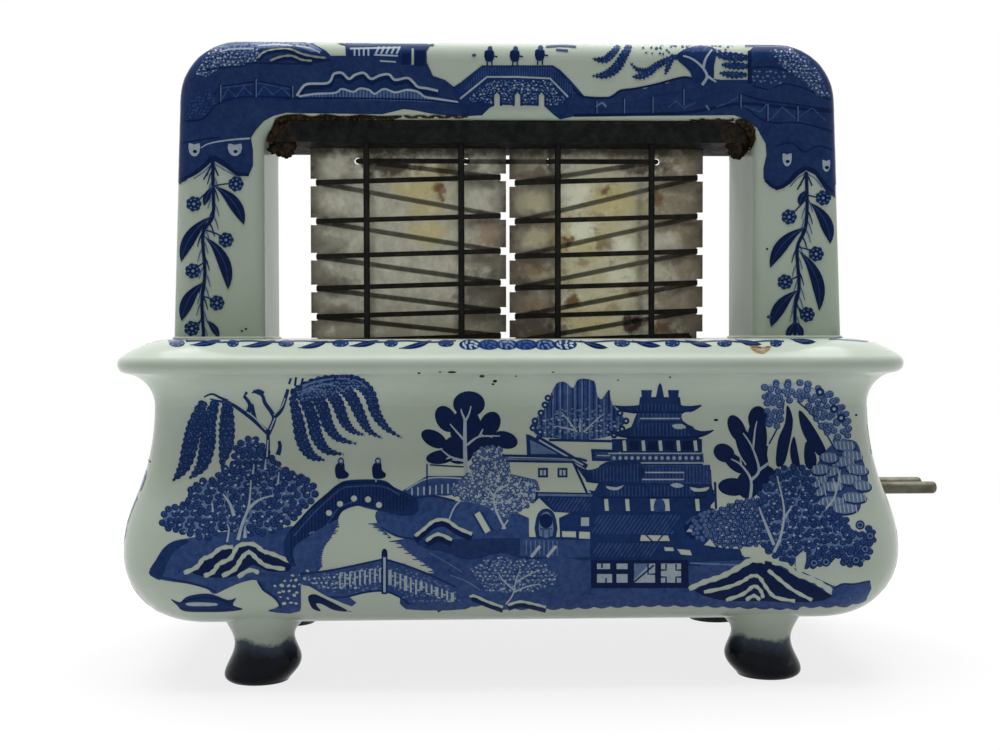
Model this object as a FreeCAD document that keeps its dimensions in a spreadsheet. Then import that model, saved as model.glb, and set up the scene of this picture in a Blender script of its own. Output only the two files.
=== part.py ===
"""Porcelain perch toaster: a footed base, an arch with an open window, and a wire cage that holds
two wound mica heating cards. Millimetres, +X right, front towards -Y, +Z up, origin on the table."""
import FreeCAD, Part
import math
import os
import types
import Sketcher

# Driving dimensions, in millimetres unless the name says otherwise
SIZES = {
    # Base: plan at the waist, then its profile from the table up
    "waist_end_margin": 1.35,
    "waist_half_depth": 44.7,
    "inner_corner_radius": 2.5,
    "ledge_width": 3.0,
    "foot_height": 14.6,
    "heel_radius": 16.2,
    "bulge_out": 7.6,
    "belly_radius": 31.0,
    "belly_rise": 35.8,
    "cove_radius": 7.75,
    "lip_radius": 2.2,
    "crown_radius": 21.3,
    "crown_inset": 4.85,
    "rim_rise": 15.8,
    "wall": 5.0,
    "deck_thickness": 5.6,
    "weld_overlap": 1.0,
    # Feet
    "foot_inset_x": 26.6,
    "foot_inset_y": 11.0,
    "foot_top_radius": 9.6,
    "foot_neck_radius": 7.4,
    "foot_swell_radius": 8.7,
    "foot_pad_radius": 8.3,
    "foot_sole_radius": 7.2,
    "foot_root_radius": 10.6,
    "foot_root": 2.6,
    "foot_neck_height": 9.0,
    "foot_swell_height": 4.8,
    "foot_pad_height": 1.4,
    "foot_toe_out": 1.5,
    "foot_toe_forward": 0.6,
    # Arch
    "arch_leg_width": 23.35,
    "arch_lean": 2.55,
    "arch_height": 75.6,
    "arch_thickness": 36.0,
    "arch_corner_radius": 15.0,
    "arch_edge_radius": 5.0,
    "window_height": 56.05,
    "window_corner_radius": 7.0,
    "window_edge_radius": 3.0,
    # Cage rails
    "rail_height": 5.65,
    "rail_half_depth": 13.6,
    "rail_sheet": 1.0,
    "rail_clearance": 0.25,
    "sill_end_room": 1.0,
    "sill_half_depth": 14.5,
    "sill_sheet": 1.2,
    "sill_drop": 0.3,
    "sill_clearance": 0.3,
    "deck_slot_end_room": 1.75,
    # Guard wires
    "guard_radius": 0.8,
    "guard_inner_x": 12.5,
    "guard_outer_x": 36.9,
    "guard_depth": 11.0,
    "guard_hole_clearance": 0.06,
    "guard_head_radius": 1.3,
    "guard_head_height": 0.8,
    "guard_room": 0.4,
    # Heating cards and their ribbon
    "card_width": 51.8,
    "card_gap": 0.9,
    "card_side_room": 10.25,
    "card_sheet": 0.6,
    "card_top_tuck": 2.2,
    "card_bottom_drop": 11.0,
    "card_slot_room": 0.4,
    "notch_depth": 1.6,
    "notch_height": 2.0,
    "notch_tilt": 1.5,
    "ribbon_width": 1.3,
    "ribbon_sheet": 0.2,
    "ribbon_fold_inset": 0.1,
    "anchor_drop": 3.3,
    "anchor_outer_inset": 12.5,
    "anchor_inner_inset": 10.6,
    "anchor_radius": 0.9,
    "anchor_plug_radius": 0.6,
    "tail_inset": 3.6,
    "tail_length": 7.0,
    # Studs that clamp the cage, the base and the bottom plate together
    "stud_radius": 1.8,
    "stud_from_card": 5.75,
    "stud_hole_clearance": 0.3,
    "thread_clearance": 0.05,
    "stud_tail": 1.0,
    "stud_head_radius": 2.6,
    "stud_head_height": 0.25,
    "washer_radius": 4.2,
    "washer_sheet": 0.8,
    "nut_across_flats": 7.0,
    "nut_height": 3.2,
    "bottom_plate_end": 8.0,
    "bottom_plate_half_depth": 17.0,
    "bottom_plate_corner": 4.0,
    "bottom_plate_sheet": 1.2,
    "floor_hole_from_stud": 12.0,
    "floor_hole_half_depth": 12.5,
    "floor_hole_corner": 6.0,
    # Terminal pins in the right-hand wall
    "terminal_height": 42.5,
    "terminal_spacing": 12.0,
    "terminal_radius": 1.6,
    "terminal_length": 19.7,
    "terminal_nose": 1.1,
    "terminal_collar_radius": 2.4,
    "terminal_collar_height": 4.2,
    "terminal_seat_in": 2.9,
    "terminal_recess_clearance": 0.25,
    "terminal_shank_radius": 1.4,
    "terminal_hole_clearance": 0.1,
    "terminal_shank_tail": 1.6,
    "terminal_boss_half_depth": 11.0,
    "terminal_boss_half_height": 4.2,
    "terminal_boss_length": 6.0,
    "terminal_boss_bite": 2.2,
    "terminal_washer_radius": 3.0,
    "terminal_washer_sheet": 0.6,
    "terminal_nut_across_flats": 5.0,
    "terminal_nut_height": 2.4,
    # Lead wires inside the base
    "lead_radius": 1.1,
    "lead_bend": 4.0,
    # How far a cut runs past what it cuts
    "overrun": 2.0,
}
NOTCH_COUNT = 6
# Shares of the height between the deck and the rail: the first notch's drop, the pitch and how it closes up
notch_drop_share = 0.1786
notch_pitch_share = 0.2034
notch_closing_share = 0.0181

Y_AXIS = FreeCAD.Vector(0, 1, 0)
Z_AXIS = FreeCAD.Vector(0, 0, 1)


class Size:
    """A length together with the sheet formula that gives it."""

    def __init__(self, value, formula):
        self.value = value
        self.formula = formula

    def __add__(self, other):
        other = as_size(other)
        return Size(self.value + other.value, f"({self.formula} + {other.formula})")

    def __sub__(self, other):
        other = as_size(other)
        return Size(self.value - other.value, f"({self.formula} - {other.formula})")

    def __mul__(self, factor):
        return Size(self.value * factor, f"({self.formula} * {factor})")

    def __truediv__(self, divisor):
        return Size(self.value / divisor, f"({self.formula} / {divisor})")

    def __neg__(self):
        return Size(-self.value, f"(-{self.formula})")

    def __rmul__(self, factor):
        return self * factor


def as_size(number):
    return number if isinstance(number, Size) else Size(float(number), str(float(number)))


def leg(hypotenuse, other_leg):
    """Third side of a right-angled triangle."""
    value = math.sqrt(hypotenuse.value ** 2 - other_leg.value ** 2)
    return Size(value, f"sqrt({hypotenuse.formula} ^ 2 - {other_leg.formula} ^ 2)")


doc = FreeCAD.newDocument("toaster")
sheet = doc.addObject("Spreadsheet::Sheet", "Sizes")
for row, (alias, number) in enumerate(SIZES.items(), start=1):
    sheet.set(f"A{row}", str(number))
    sheet.setAlias(f"A{row}", alias)
doc.recompute()
d = types.SimpleNamespace(**{alias: Size(float(sheet.get(alias)), f"Sizes.{alias}") for alias in SIZES})

# Levels and places that several pieces share
card_half = d.card_width / 2
card_x = d.card_gap / 2 + card_half
card_edge_x = card_x + card_half
window_half_width = card_edge_x + d.card_side_room
arch_half_width = window_half_width + d.arch_leg_width
arch_top_half_width = arch_half_width - d.arch_lean
waist_half_width = arch_half_width + d.waist_end_margin
foot_x = waist_half_width - d.foot_inset_x
foot_y = d.waist_half_depth - d.foot_inset_y
stud_x = card_edge_x + d.stud_from_card
bulge_z = d.foot_height + d.heel_radius
waist_z = bulge_z + d.belly_rise
deck_z = waist_z + d.rim_rise
section_reach = d.heel_radius - d.bulge_out + d.ledge_width
path_half_width = waist_half_width - section_reach
path_half_depth = d.waist_half_depth - section_reach
soffit_z = deck_z + d.window_height
rail_top_z = soffit_z - d.rail_clearance
rail_bottom_z = soffit_z - d.rail_height
sill_top_z = deck_z - d.sill_drop
sill_bottom_z = sill_top_z - d.sill_sheet
winding_height = rail_bottom_z - deck_z
sill_half_length = window_half_width - d.sill_end_room
sill_recess_half_length = sill_half_length + d.sill_clearance
sill_recess_half_depth = d.sill_half_depth + d.sill_clearance
guard_hole_radius = d.guard_radius + d.guard_hole_clearance
deck_slot_half_length = card_edge_x + d.deck_slot_end_room
deck_slot_half_depth = d.guard_depth + d.guard_head_radius + d.guard_room
guard_x = (-d.guard_outer_x, -d.guard_inner_x, d.guard_inner_x, d.guard_outer_x)
card_top_z = rail_bottom_z + d.rail_sheet + d.card_top_tuck
card_bottom_z = deck_z - d.card_bottom_drop
card_face = d.card_sheet / 2
ribbon_face = card_face + d.ribbon_sheet
card_slot_half_depth = ribbon_face + d.card_slot_room
stud_hole_radius = d.stud_radius + d.stud_hole_clearance
plate_bottom_z = d.foot_height - d.bottom_plate_sheet
washer_bottom_z = plate_bottom_z - d.washer_sheet
nut_bottom_z = washer_bottom_z - d.nut_height
terminal_y = d.terminal_spacing / 2
terminal_seat_x = waist_half_width + d.terminal_seat_in
terminal_hole_radius = d.terminal_shank_radius + d.terminal_hole_clearance
boss_end_x = waist_half_width + d.terminal_boss_bite
boss_face_x = boss_end_x - d.terminal_boss_length - d.terminal_boss_bite
terminal_nut_x = boss_face_x - d.terminal_washer_sheet
terminal_end_x = terminal_nut_x - d.terminal_nut_height - d.terminal_shank_tail
anchor_z = rail_bottom_z - d.anchor_drop
anchor_outer_x = card_edge_x - d.anchor_outer_inset
anchor_inner_x = card_x - card_half + d.anchor_inner_inset


def notch_z(turn):
    """Height of the left-hand notch of a turn: the pitch closes up towards the bottom."""
    closing = turn * (turn - 1) / 2
    drop_share = notch_drop_share + notch_pitch_share * turn - notch_closing_share * closing
    return rail_bottom_z - winding_height * drop_share


# Document helpers
def bind(item, name, size):
    item.setExpression(name, as_size(size).formula)


def new_body(label):
    body = doc.addObject("PartDesign::Body", label)
    body.Label = label
    return body


def origin_plane(body, role):
    return next(item for item in body.Origin.OriginFeatures if item.Role == role)


def new_sketch(body, name, plane, offset=None):
    """A sketch on one of the body's own origin planes, moved along that plane's normal."""
    sketch = body.newObject("Sketcher::SketchObject", f"{body.Label}_{name}")
    sketch.AttachmentSupport = [(origin_plane(body, plane), "")]
    sketch.MapMode = "FlatFace"
    if offset is not None:
        bind(sketch, "AttachmentOffset.Base.z", offset)
    return sketch


def hold(sketch, kind, *references, size):
    """A dimension of the sketch that follows a size."""
    size = as_size(size)
    index = sketch.addConstraint(Sketcher.Constraint(kind, *references, size.value))
    sketch.setExpression(f"Constraints[{index}]", size.formula)


def hold_point(sketch, geometry, point, x=None, y=None):
    if x is not None:
        hold(sketch, "DistanceX", -1, 1, geometry, point, size=x)
    if y is not None:
        hold(sketch, "DistanceY", -1, 1, geometry, point, size=y)


def flat(x, y):
    return FreeCAD.Vector(as_size(x).value, as_size(y).value, 0)


def draw_line(sketch, start, end):
    return sketch.addGeometry(Part.LineSegment(flat(*start), flat(*end)), False)


def draw_arc(sketch, centre, radius, start_angle, end_angle):
    """Anticlockwise arc; angles in radians."""
    circle = Part.Circle(flat(*centre), Z_AXIS, as_size(radius).value)
    return sketch.addGeometry(Part.ArcOfCircle(circle, start_angle, end_angle), False)


def join(sketch, first, first_point, second, second_point):
    sketch.addConstraint(Sketcher.Constraint("Coincident", first, first_point, second, second_point))


def draw_polygon(sketch, points):
    edges = [draw_line(sketch, a, b) for a, b in zip(points, points[1:] + points[:1])]
    for edge, following in zip(edges, edges[1:] + edges[:1]):
        join(sketch, edge, 2, following, 1)
    for edge, point in zip(edges, points):
        hold_point(sketch, edge, 1, *point)


def draw_rectangle(sketch, left, bottom, right, top):
    draw_polygon(sketch, [(left, bottom), (right, bottom), (right, top), (left, top)])


def draw_circle(sketch, x, y, radius):
    circle = sketch.addGeometry(Part.Circle(flat(x, y), Z_AXIS, as_size(radius).value), False)
    hold_point(sketch, circle, 3, x, y)
    hold(sketch, "Radius", circle, size=radius)


def draw_rounded_rectangle(sketch, half_x, half_y, radius, start_at_top=False):
    """Rounded rectangle about the origin; its top side may be two lines that meet on the Y axis."""
    in_x = half_x - radius
    in_y = half_y - radius
    sides = [((in_x, half_y), (-in_x, half_y)), ((-half_x, in_y), (-half_x, -in_y)),
             ((-in_x, -half_y), (in_x, -half_y)), ((half_x, -in_y), (half_x, in_y))]
    corners = [(-in_x, in_y, 1), (-in_x, -in_y, 2), (in_x, -in_y, 3), (in_x, in_y, 4)]
    if start_at_top:
        sides[0] = ((0, half_y), (-in_x, half_y))
    quarter = math.pi / 2
    lines = []
    arcs = []
    for (start, end), (x, y, turn) in zip(sides, corners):
        lines.append(draw_line(sketch, start, end))
        arcs.append(draw_arc(sketch, (x, y), radius, turn * quarter, (turn + 1) * quarter))
    for line, (start, end) in zip(lines, sides):
        hold_point(sketch, line, 1, *start)
        hold_point(sketch, line, 2, *end)
    for line, arc in zip(lines, arcs):
        join(sketch, line, 2, arc, 1)
        hold(sketch, "Radius", arc, size=radius)
    for arc, line in zip(arcs[:-1], lines[1:]):
        join(sketch, arc, 2, line, 1)
    if start_at_top:
        closing = draw_line(sketch, (in_x, half_y), (0, half_y))
        join(sketch, closing, 2, lines[0], 1)
        join(sketch, arcs[-1], 2, closing, 1)
        hold_point(sketch, closing, 1, in_x, half_y)
    else:
        join(sketch, arcs[-1], 2, lines[0], 1)


def extrude(body, kind, name, sketch, length, symmetric=False, reverse=False):
    feature = body.newObject(f"PartDesign::{kind}", f"{body.Label}_{name}")
    feature.Profile = sketch
    if symmetric:
        feature.SideType = "Symmetric"
    feature.Reversed = reverse
    bind(feature, "Length", length)
    return feature


def revolve(body, name, sketch, axis):
    """A full turn about an axis of the sketch, "V_Axis" or "H_Axis"."""
    feature = body.newObject("PartDesign::Revolution", f"{body.Label}_{name}")
    feature.Profile = sketch
    feature.ReferenceAxis = (sketch, [axis])
    return feature


def round_edges(body, name, base, radius, chosen):
    """Fillet the edges of a feature for which chosen(edge) is true."""
    doc.recompute()
    names = [f"Edge{i}" for i, edge in enumerate(base.Shape.Edges, start=1) if chosen(edge)]
    feature = body.newObject("PartDesign::Fillet", f"{body.Label}_{name}")
    feature.Base = (base, names)
    bind(feature, "Radius", radius)
    return feature


def place(item, x=0, y=0, z=0):
    for axis, size in zip("xyz", (x, y, z)):
        bind(item, f"Placement.Base.{axis}", size)


# Porcelain base
def draw_wall_section(sketch):
    """Closed section of the base wall: deck edge, rolled lip, cove, belly, heel and the inside face."""
    waist = d.waist_half_depth
    inner = waist - section_reach
    bulge = waist + d.bulge_out
    heel = bulge - d.heel_radius
    belly_centre = bulge - d.belly_radius
    crown = waist - d.crown_inset
    deck_under = deck_z - d.deck_thickness
    floor_z = d.foot_height + d.wall
    # The lip's centre lies inside the crown circle and outside the cove circle
    crown_centre = flat(crown, deck_z - d.crown_radius)
    cove_centre = flat(waist + d.cove_radius, waist_z)
    from_crown = (d.crown_radius - d.lip_radius).value
    from_cove = (d.cove_radius + d.lip_radius).value
    between = cove_centre - crown_centre
    span = between.Length
    along = (from_crown ** 2 - from_cove ** 2 + span ** 2) / (2 * span)
    aside = math.sqrt(from_crown ** 2 - along ** 2)
    unit = between / span
    lip_centre = crown_centre + unit * along + FreeCAD.Vector(-unit.y, unit.x, 0) * aside

    def bearing(start, end):
        return math.atan2(end.y - start.y, end.x - start.x)

    lip_top = bearing(crown_centre, lip_centre)
    cove_top = bearing(cove_centre, lip_centre)
    # The flank and belly circles touch where the wall turns from hollow to full
    radii = (d.bulge_out.value ** 2 + d.belly_rise.value ** 2) / (2 * d.bulge_out.value)
    flank = radii - d.belly_radius.value
    turn = math.asin(d.belly_rise.value / radii)
    quarter = math.pi / 2

    top = draw_line(sketch, (inner, deck_z), (crown, deck_z))
    crown_arc = draw_arc(sketch, (crown, deck_z - d.crown_radius), d.crown_radius, lip_top, quarter)
    lip_arc = draw_arc(sketch, (lip_centre.x, lip_centre.y), d.lip_radius, cove_top - math.pi, lip_top)
    cove_arc = draw_arc(sketch, (waist + d.cove_radius, waist_z), d.cove_radius, cove_top, math.pi)
    flank_arc = draw_arc(sketch, (waist + flank, waist_z), flank, math.pi, math.pi + turn)
    belly_arc = draw_arc(sketch, (belly_centre, bulge_z), d.belly_radius, 0, turn)
    heel_arc = draw_arc(sketch, (heel, bulge_z), d.heel_radius, -quarter, 0)
    bottom = draw_line(sketch, (heel, d.foot_height), (inner, d.foot_height))
    floor_edge = draw_line(sketch, (inner, d.foot_height), (inner, floor_z))
    floor_top = draw_line(sketch, (inner, floor_z), (heel, floor_z))
    heel_in = draw_arc(sketch, (heel, bulge_z), d.heel_radius - d.wall, -quarter, 0)
    belly_in = draw_arc(sketch, (belly_centre, bulge_z), d.belly_radius - d.wall, 0, turn)
    flank_in = draw_arc(sketch, (waist + flank, waist_z), d.wall + flank, math.pi, math.pi + turn)
    upright = draw_line(sketch, (waist - d.wall, waist_z), (waist - d.wall, deck_under))
    underside = draw_line(sketch, (waist - d.wall, deck_under), (inner, deck_under))
    deck_edge = draw_line(sketch, (inner, deck_under), (inner, deck_z))

    for first, first_point, second, second_point in (
            (top, 2, crown_arc, 2), (cove_arc, 2, flank_arc, 1), (belly_arc, 1, heel_arc, 2),
            (heel_arc, 1, bottom, 1), (bottom, 2, floor_edge, 1), (floor_edge, 2, floor_top, 1),
            (floor_top, 2, heel_in, 1), (heel_in, 2, belly_in, 1),
            (flank_in, 1, upright, 1), (upright, 2, underside, 1), (underside, 2, deck_edge, 1),
            (deck_edge, 2, top, 1), (heel_in, 3, heel_arc, 3), (belly_in, 3, belly_arc, 3),
            (flank_in, 3, flank_arc, 3)):
        join(sketch, first, first_point, second, second_point)
    for first, first_point, second, second_point in (
            (crown_arc, 1, lip_arc, 2), (lip_arc, 1, cove_arc, 1), (flank_arc, 2, belly_arc, 2),
            (flank_in, 2, belly_in, 2)):
        sketch.addConstraint(Sketcher.Constraint("Tangent", first, first_point, second, second_point))
    hold_point(sketch, top, 1, inner, deck_z)
    hold_point(sketch, top, 2, crown, deck_z)
    hold_point(sketch, crown_arc, 3, crown, deck_z - d.crown_radius)
    hold(sketch, "Radius", lip_arc, size=d.lip_radius)
    hold_point(sketch, cove_arc, 3, waist + d.cove_radius, waist_z)
    hold_point(sketch, cove_arc, 2, waist, waist_z)
    hold_point(sketch, flank_arc, 3, y=waist_z)
    hold_point(sketch, belly_arc, 3, belly_centre, bulge_z)
    hold_point(sketch, belly_arc, 1, bulge, bulge_z)
    hold_point(sketch, heel_arc, 3, heel, bulge_z)
    hold_point(sketch, bottom, 1, heel)
    hold_point(sketch, bottom, 2, inner, d.foot_height)
    hold_point(sketch, floor_edge, 2, inner, floor_z)
    hold_point(sketch, floor_top, 2, heel)
    hold_point(sketch, heel_in, 2, bulge - d.wall, bulge_z)
    hold_point(sketch, upright, 1, y=waist_z)
    hold_point(sketch, upright, 2, waist - d.wall, deck_under)
    hold_point(sketch, underside, 2, inner, deck_under)


def add_feet(body):
    """One turned foot with its toe leaning outwards, then its mirror images."""
    rings = [(0, d.foot_sole_radius, True), (d.foot_pad_height, d.foot_pad_radius, True),
             (d.foot_swell_height, d.foot_swell_radius, False),
             (d.foot_neck_height, d.foot_neck_radius, False),
             (d.foot_height, d.foot_top_radius, False),
             (d.foot_height + d.foot_root, d.foot_root_radius, False)]
    sketches = []
    for ring, (height, radius, on_toe) in enumerate(rings):
        sketch = new_sketch(body, f"foot_ring_{ring}", "XY_Plane", height)
        x = foot_x + d.foot_toe_out if on_toe else foot_x
        y = foot_y + d.foot_toe_forward if on_toe else foot_y
        draw_circle(sketch, x, -y, radius)
        sketches.append(sketch)
    foot = body.newObject("PartDesign::AdditiveLoft", f"{body.Label}_foot")
    foot.Profile = sketches[0]
    foot.Sections = sketches[1:]
    doc.recompute()
    feet = body.newObject("PartDesign::MultiTransform", f"{body.Label}_feet")
    feet.Originals = [foot]
    steps = []
    for plane in ("YZ_Plane", "XZ_Plane"):
        step = body.newObject("PartDesign::Mirrored", f"{body.Label}_feet_{plane[:2].lower()}")
        step.MirrorPlane = (origin_plane(body, plane), [""])
        steps.append(step)
    feet.Transformations = steps
    body.Tip = feet


def make_base_shell():
    body = new_body("base_shell")
    section = new_sketch(body, "wall_section", "YZ_Plane")
    draw_wall_section(section)
    path = new_sketch(body, "plan_path", "XY_Plane", deck_z)
    draw_rounded_rectangle(path, path_half_width, path_half_depth, d.inner_corner_radius, start_at_top=True)
    wall = body.newObject("PartDesign::AdditivePipe", "base_shell_wall")
    wall.Profile = section
    wall.Spine = path
    # Deck and floor close the ring that the wall makes
    for name, level, thickness in (("deck", deck_z - d.deck_thickness, d.deck_thickness),
                                   ("floor", d.foot_height, d.wall)):
        sheet_plan = new_sketch(body, f"{name}_plan", "XY_Plane", level)
        draw_rounded_rectangle(sheet_plan, path_half_width + d.weld_overlap,
                               path_half_depth + d.weld_overlap, d.inner_corner_radius + d.weld_overlap)
        extrude(body, "Pad", name, sheet_plan, thickness)
    boss = new_sketch(body, "terminal_boss_face", "YZ_Plane", boss_face_x)
    draw_rectangle(boss, -d.terminal_boss_half_depth, d.terminal_height - d.terminal_boss_half_height,
                   d.terminal_boss_half_depth, d.terminal_height + d.terminal_boss_half_height)
    extrude(body, "Pad", "terminal_boss", boss, boss_end_x - boss_face_x)
    add_feet(body)
    # The sill's recess, the slot under it and the studs' holes
    recess = new_sketch(body, "sill_recess_plan", "XY_Plane", sill_bottom_z)
    draw_rectangle(recess, -sill_recess_half_length, -sill_recess_half_depth,
                   sill_recess_half_length, sill_recess_half_depth)
    extrude(body, "Pocket", "sill_recess", recess, d.sill_sheet + d.sill_drop + d.overrun, reverse=True)
    slot = new_sketch(body, "deck_slot_plan", "XY_Plane", deck_z - d.deck_thickness - d.overrun)
    draw_rectangle(slot, -deck_slot_half_length, -deck_slot_half_depth,
                   deck_slot_half_length, deck_slot_half_depth)
    extrude(body, "Pocket", "deck_slot", slot, d.deck_thickness + d.overrun * 2, reverse=True)
    stud_holes = new_sketch(body, "stud_hole_plan", "XY_Plane")
    for x in (-stud_x, stud_x):
        draw_circle(stud_holes, x, 0, stud_hole_radius)
    extrude(body, "Pocket", "stud_holes", stud_holes, deck_z + d.overrun, reverse=True)
    hatch = new_sketch(body, "floor_hatch_plan", "XY_Plane", d.foot_height - d.overrun)
    draw_rounded_rectangle(hatch, stud_x - d.floor_hole_from_stud, d.floor_hole_half_depth,
                           d.floor_hole_corner)
    extrude(body, "Pocket", "floor_hatch", hatch, d.wall + d.overrun * 2, reverse=True)
    # The pins' holes and the recesses that hide their collars
    for name, radius, start in (("holes", terminal_hole_radius, boss_face_x - d.overrun),
                                ("recesses", d.terminal_collar_radius + d.terminal_recess_clearance,
                                 terminal_seat_x)):
        plan = new_sketch(body, f"terminal_{name}_plan", "YZ_Plane", start)
        for y in (-terminal_y, terminal_y):
            draw_circle(plan, y, d.terminal_height, radius)
        extrude(body, "Pocket", f"terminal_{name}", plan, d.terminal_boss_length + d.terminal_length,
                reverse=True)
    return body


# Porcelain arch
def make_arch():
    body = new_body("arch")
    half_thickness = d.arch_thickness / 2
    top_z = deck_z + d.arch_height
    outline = new_sketch(body, "outline", "XZ_Plane")
    draw_polygon(outline, [(-arch_half_width, deck_z), (arch_half_width, deck_z),
                           (arch_top_half_width, top_z), (-arch_top_half_width, top_z)])
    block = extrude(body, "Pad", "block", outline, d.arch_thickness, symmetric=True)
    opening = new_sketch(body, "window_outline", "XZ_Plane")
    draw_rectangle(opening, -window_half_width, deck_z - d.overrun, window_half_width, soffit_z)
    window = extrude(body, "Pocket", "window", opening, d.arch_thickness + d.overrun * 2, symmetric=True)

    def crosses(edge):
        return abs(edge.tangentAt(edge.FirstParameter).y) > abs(edge.tangentAt(edge.FirstParameter).x)

    def at_height(edge, level):
        return math.isclose(edge.CenterOfMass.z, level.value, abs_tol=d.rail_clearance.value)

    def is_face_edge(edge):
        """True on the arch's front and rear faces, but not where it stands on the deck."""
        on_face = math.isclose(abs(edge.CenterOfMass.y), half_thickness.value, rel_tol=1e-6)
        return on_face and not at_height(edge, deck_z)

    def on_window(edge):
        box = edge.BoundBox
        inside = max(abs(box.XMin), abs(box.XMax)) < (window_half_width + d.rail_clearance).value
        return inside and box.ZMax < (soffit_z + d.rail_clearance).value

    shoulders = round_edges(body, "shoulders", window, d.arch_corner_radius,
                            lambda edge: crosses(edge) and at_height(edge, top_z))
    corners = round_edges(body, "window_corners", shoulders, d.window_corner_radius,
                          lambda edge: crosses(edge) and at_height(edge, soffit_z))
    rim = round_edges(body, "outer_edges", corners, d.arch_edge_radius,
                      lambda edge: is_face_edge(edge) and not on_window(edge))
    round_edges(body, "window_edges", rim, d.window_edge_radius,
                lambda edge: is_face_edge(edge) and on_window(edge))
    return body


def draw_guard_holes(sketch):
    for y in (-d.guard_depth, d.guard_depth):
        for x in guard_x:
            draw_circle(sketch, x, y, guard_hole_radius)


def draw_card_slots(sketch):
    for side in (-1, 1):
        inner = d.card_gap / 2 - d.card_slot_room
        outer = card_edge_x + d.card_slot_room
        left, right = (inner, outer) if side > 0 else (-outer, -inner)
        draw_rectangle(sketch, left, -card_slot_half_depth, right, card_slot_half_depth)


# Cage: the rail under the arch, the sill in the deck and the guard wires between them
def make_upper_rail():
    """Folded channel whose ends follow the rounded corners of the window."""
    body = new_body("upper_rail")
    corner = d.window_corner_radius - d.rail_clearance
    corner_x = window_half_width - d.window_corner_radius
    corner_z = soffit_z - d.window_corner_radius
    reach = leg(corner, rail_bottom_z - corner_z)
    start = math.asin((rail_bottom_z - corner_z).value / corner.value)
    outline = new_sketch(body, "outline", "XZ_Plane")
    low = draw_line(outline, (-corner_x - reach, rail_bottom_z), (corner_x + reach, rail_bottom_z))
    right = draw_arc(outline, (corner_x, corner_z), corner, start, math.pi / 2)
    high = draw_line(outline, (corner_x, rail_top_z), (-corner_x, rail_top_z))
    left = draw_arc(outline, (-corner_x, corner_z), corner, math.pi / 2, math.pi - start)
    for first, second in ((low, right), (right, high), (high, left), (left, low)):
        join(outline, first, 2, second, 1)
    hold_point(outline, low, 1, -corner_x - reach, rail_bottom_z)
    hold_point(outline, low, 2, corner_x + reach, rail_bottom_z)
    hold_point(outline, high, 1, corner_x, rail_top_z)
    hold_point(outline, high, 2, -corner_x, rail_top_z)
    for arc in (right, left):
        hold(outline, "Radius", arc, size=corner)
    extrude(body, "Pad", "bar", outline, d.rail_half_depth * 2, symmetric=True)
    trough = new_sketch(body, "trough_section", "YZ_Plane")
    draw_rectangle(trough, d.rail_sheet - d.rail_half_depth, rail_bottom_z + d.rail_sheet,
                   d.rail_half_depth - d.rail_sheet, rail_top_z + d.overrun)
    extrude(body, "Pocket", "trough", trough, window_half_width * 2, symmetric=True)
    holes = new_sketch(body, "hole_plan", "XY_Plane", rail_bottom_z - d.overrun)
    draw_guard_holes(holes)
    draw_card_slots(holes)
    extrude(body, "Pocket", "holes", holes, d.rail_sheet + d.overrun * 2, reverse=True)
    return body


def make_sill():
    body = new_body("sill")
    plan = new_sketch(body, "plan", "XY_Plane", sill_bottom_z)
    draw_rectangle(plan, -sill_half_length, -d.sill_half_depth, sill_half_length, d.sill_half_depth)
    extrude(body, "Pad", "strip", plan, d.sill_sheet)
    holes = new_sketch(body, "hole_plan", "XY_Plane", sill_bottom_z - d.overrun)
    draw_guard_holes(holes)
    draw_card_slots(holes)
    for x in (-stud_x, stud_x):
        draw_circle(holes, x, 0, d.stud_radius + d.thread_clearance)
    extrude(body, "Pocket", "holes", holes, d.sill_sheet + d.overrun * 2, reverse=True)
    return body


def make_guard_wire(label, x, y):
    """Straight wire with a peened head above the rail and another below the sill."""
    body = new_body(label)
    rail_web_z = rail_bottom_z + d.rail_sheet
    half = new_sketch(body, "half_section", "XZ_Plane")
    draw_polygon(half, [(0, sill_bottom_z - d.guard_head_height),
                        (d.guard_head_radius, sill_bottom_z - d.guard_head_height),
                        (d.guard_head_radius, sill_bottom_z), (d.guard_radius, sill_bottom_z),
                        (d.guard_radius, rail_web_z), (d.guard_head_radius, rail_web_z),
                        (d.guard_head_radius, rail_web_z + d.guard_head_height),
                        (0, rail_web_z + d.guard_head_height)])
    revolve(body, "wire", half, "V_Axis")
    place(body, x, y)
    return body


# Heating cards
def make_mica_card(label, side):
    """Notched sheet; its right-hand notches sit a little higher than its left-hand ones."""
    body = new_body(label)
    left = card_x * side - card_half
    right = card_x * side + card_half
    outline = new_sketch(body, "outline", "XZ_Plane")
    draw_rectangle(outline, left, card_bottom_z, right, card_top_z)
    extrude(body, "Pad", "sheet", outline, d.card_sheet, symmetric=True)
    cuts = new_sketch(body, "cut_outlines", "XZ_Plane")
    half = d.notch_height / 2
    for turn in range(NOTCH_COUNT):
        low = notch_z(turn)
        high = low + d.notch_tilt
        draw_rectangle(cuts, left - d.overrun, low - half, left + d.notch_depth, low + half)
        draw_rectangle(cuts, right - d.notch_depth, high - half, right + d.overrun, high + half)
    for x in (anchor_outer_x * side, anchor_inner_x * side):
        draw_circle(cuts, x, anchor_z, d.anchor_radius)
    extrude(body, "Pocket", "cuts", cuts, d.card_sheet + d.overrun, symmetric=True)
    return body


def number(size):
    return as_size(size).value


def prism(outline, near_y, far_y):
    """Solid between two Y planes; the outline holds (x, z) corners."""
    corners = [FreeCAD.Vector(number(x), number(near_y), number(z)) for x, z in outline]
    face = Part.Face(Part.makePolygon(corners + corners[:1]))
    return face.extrude(Y_AXIS * number(far_y - near_y))


def face_span(front):
    """Near and far Y of a ribbon that lies on the front or the rear of a card."""
    return (-ribbon_face, -card_face) if front else (card_face, ribbon_face)


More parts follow.
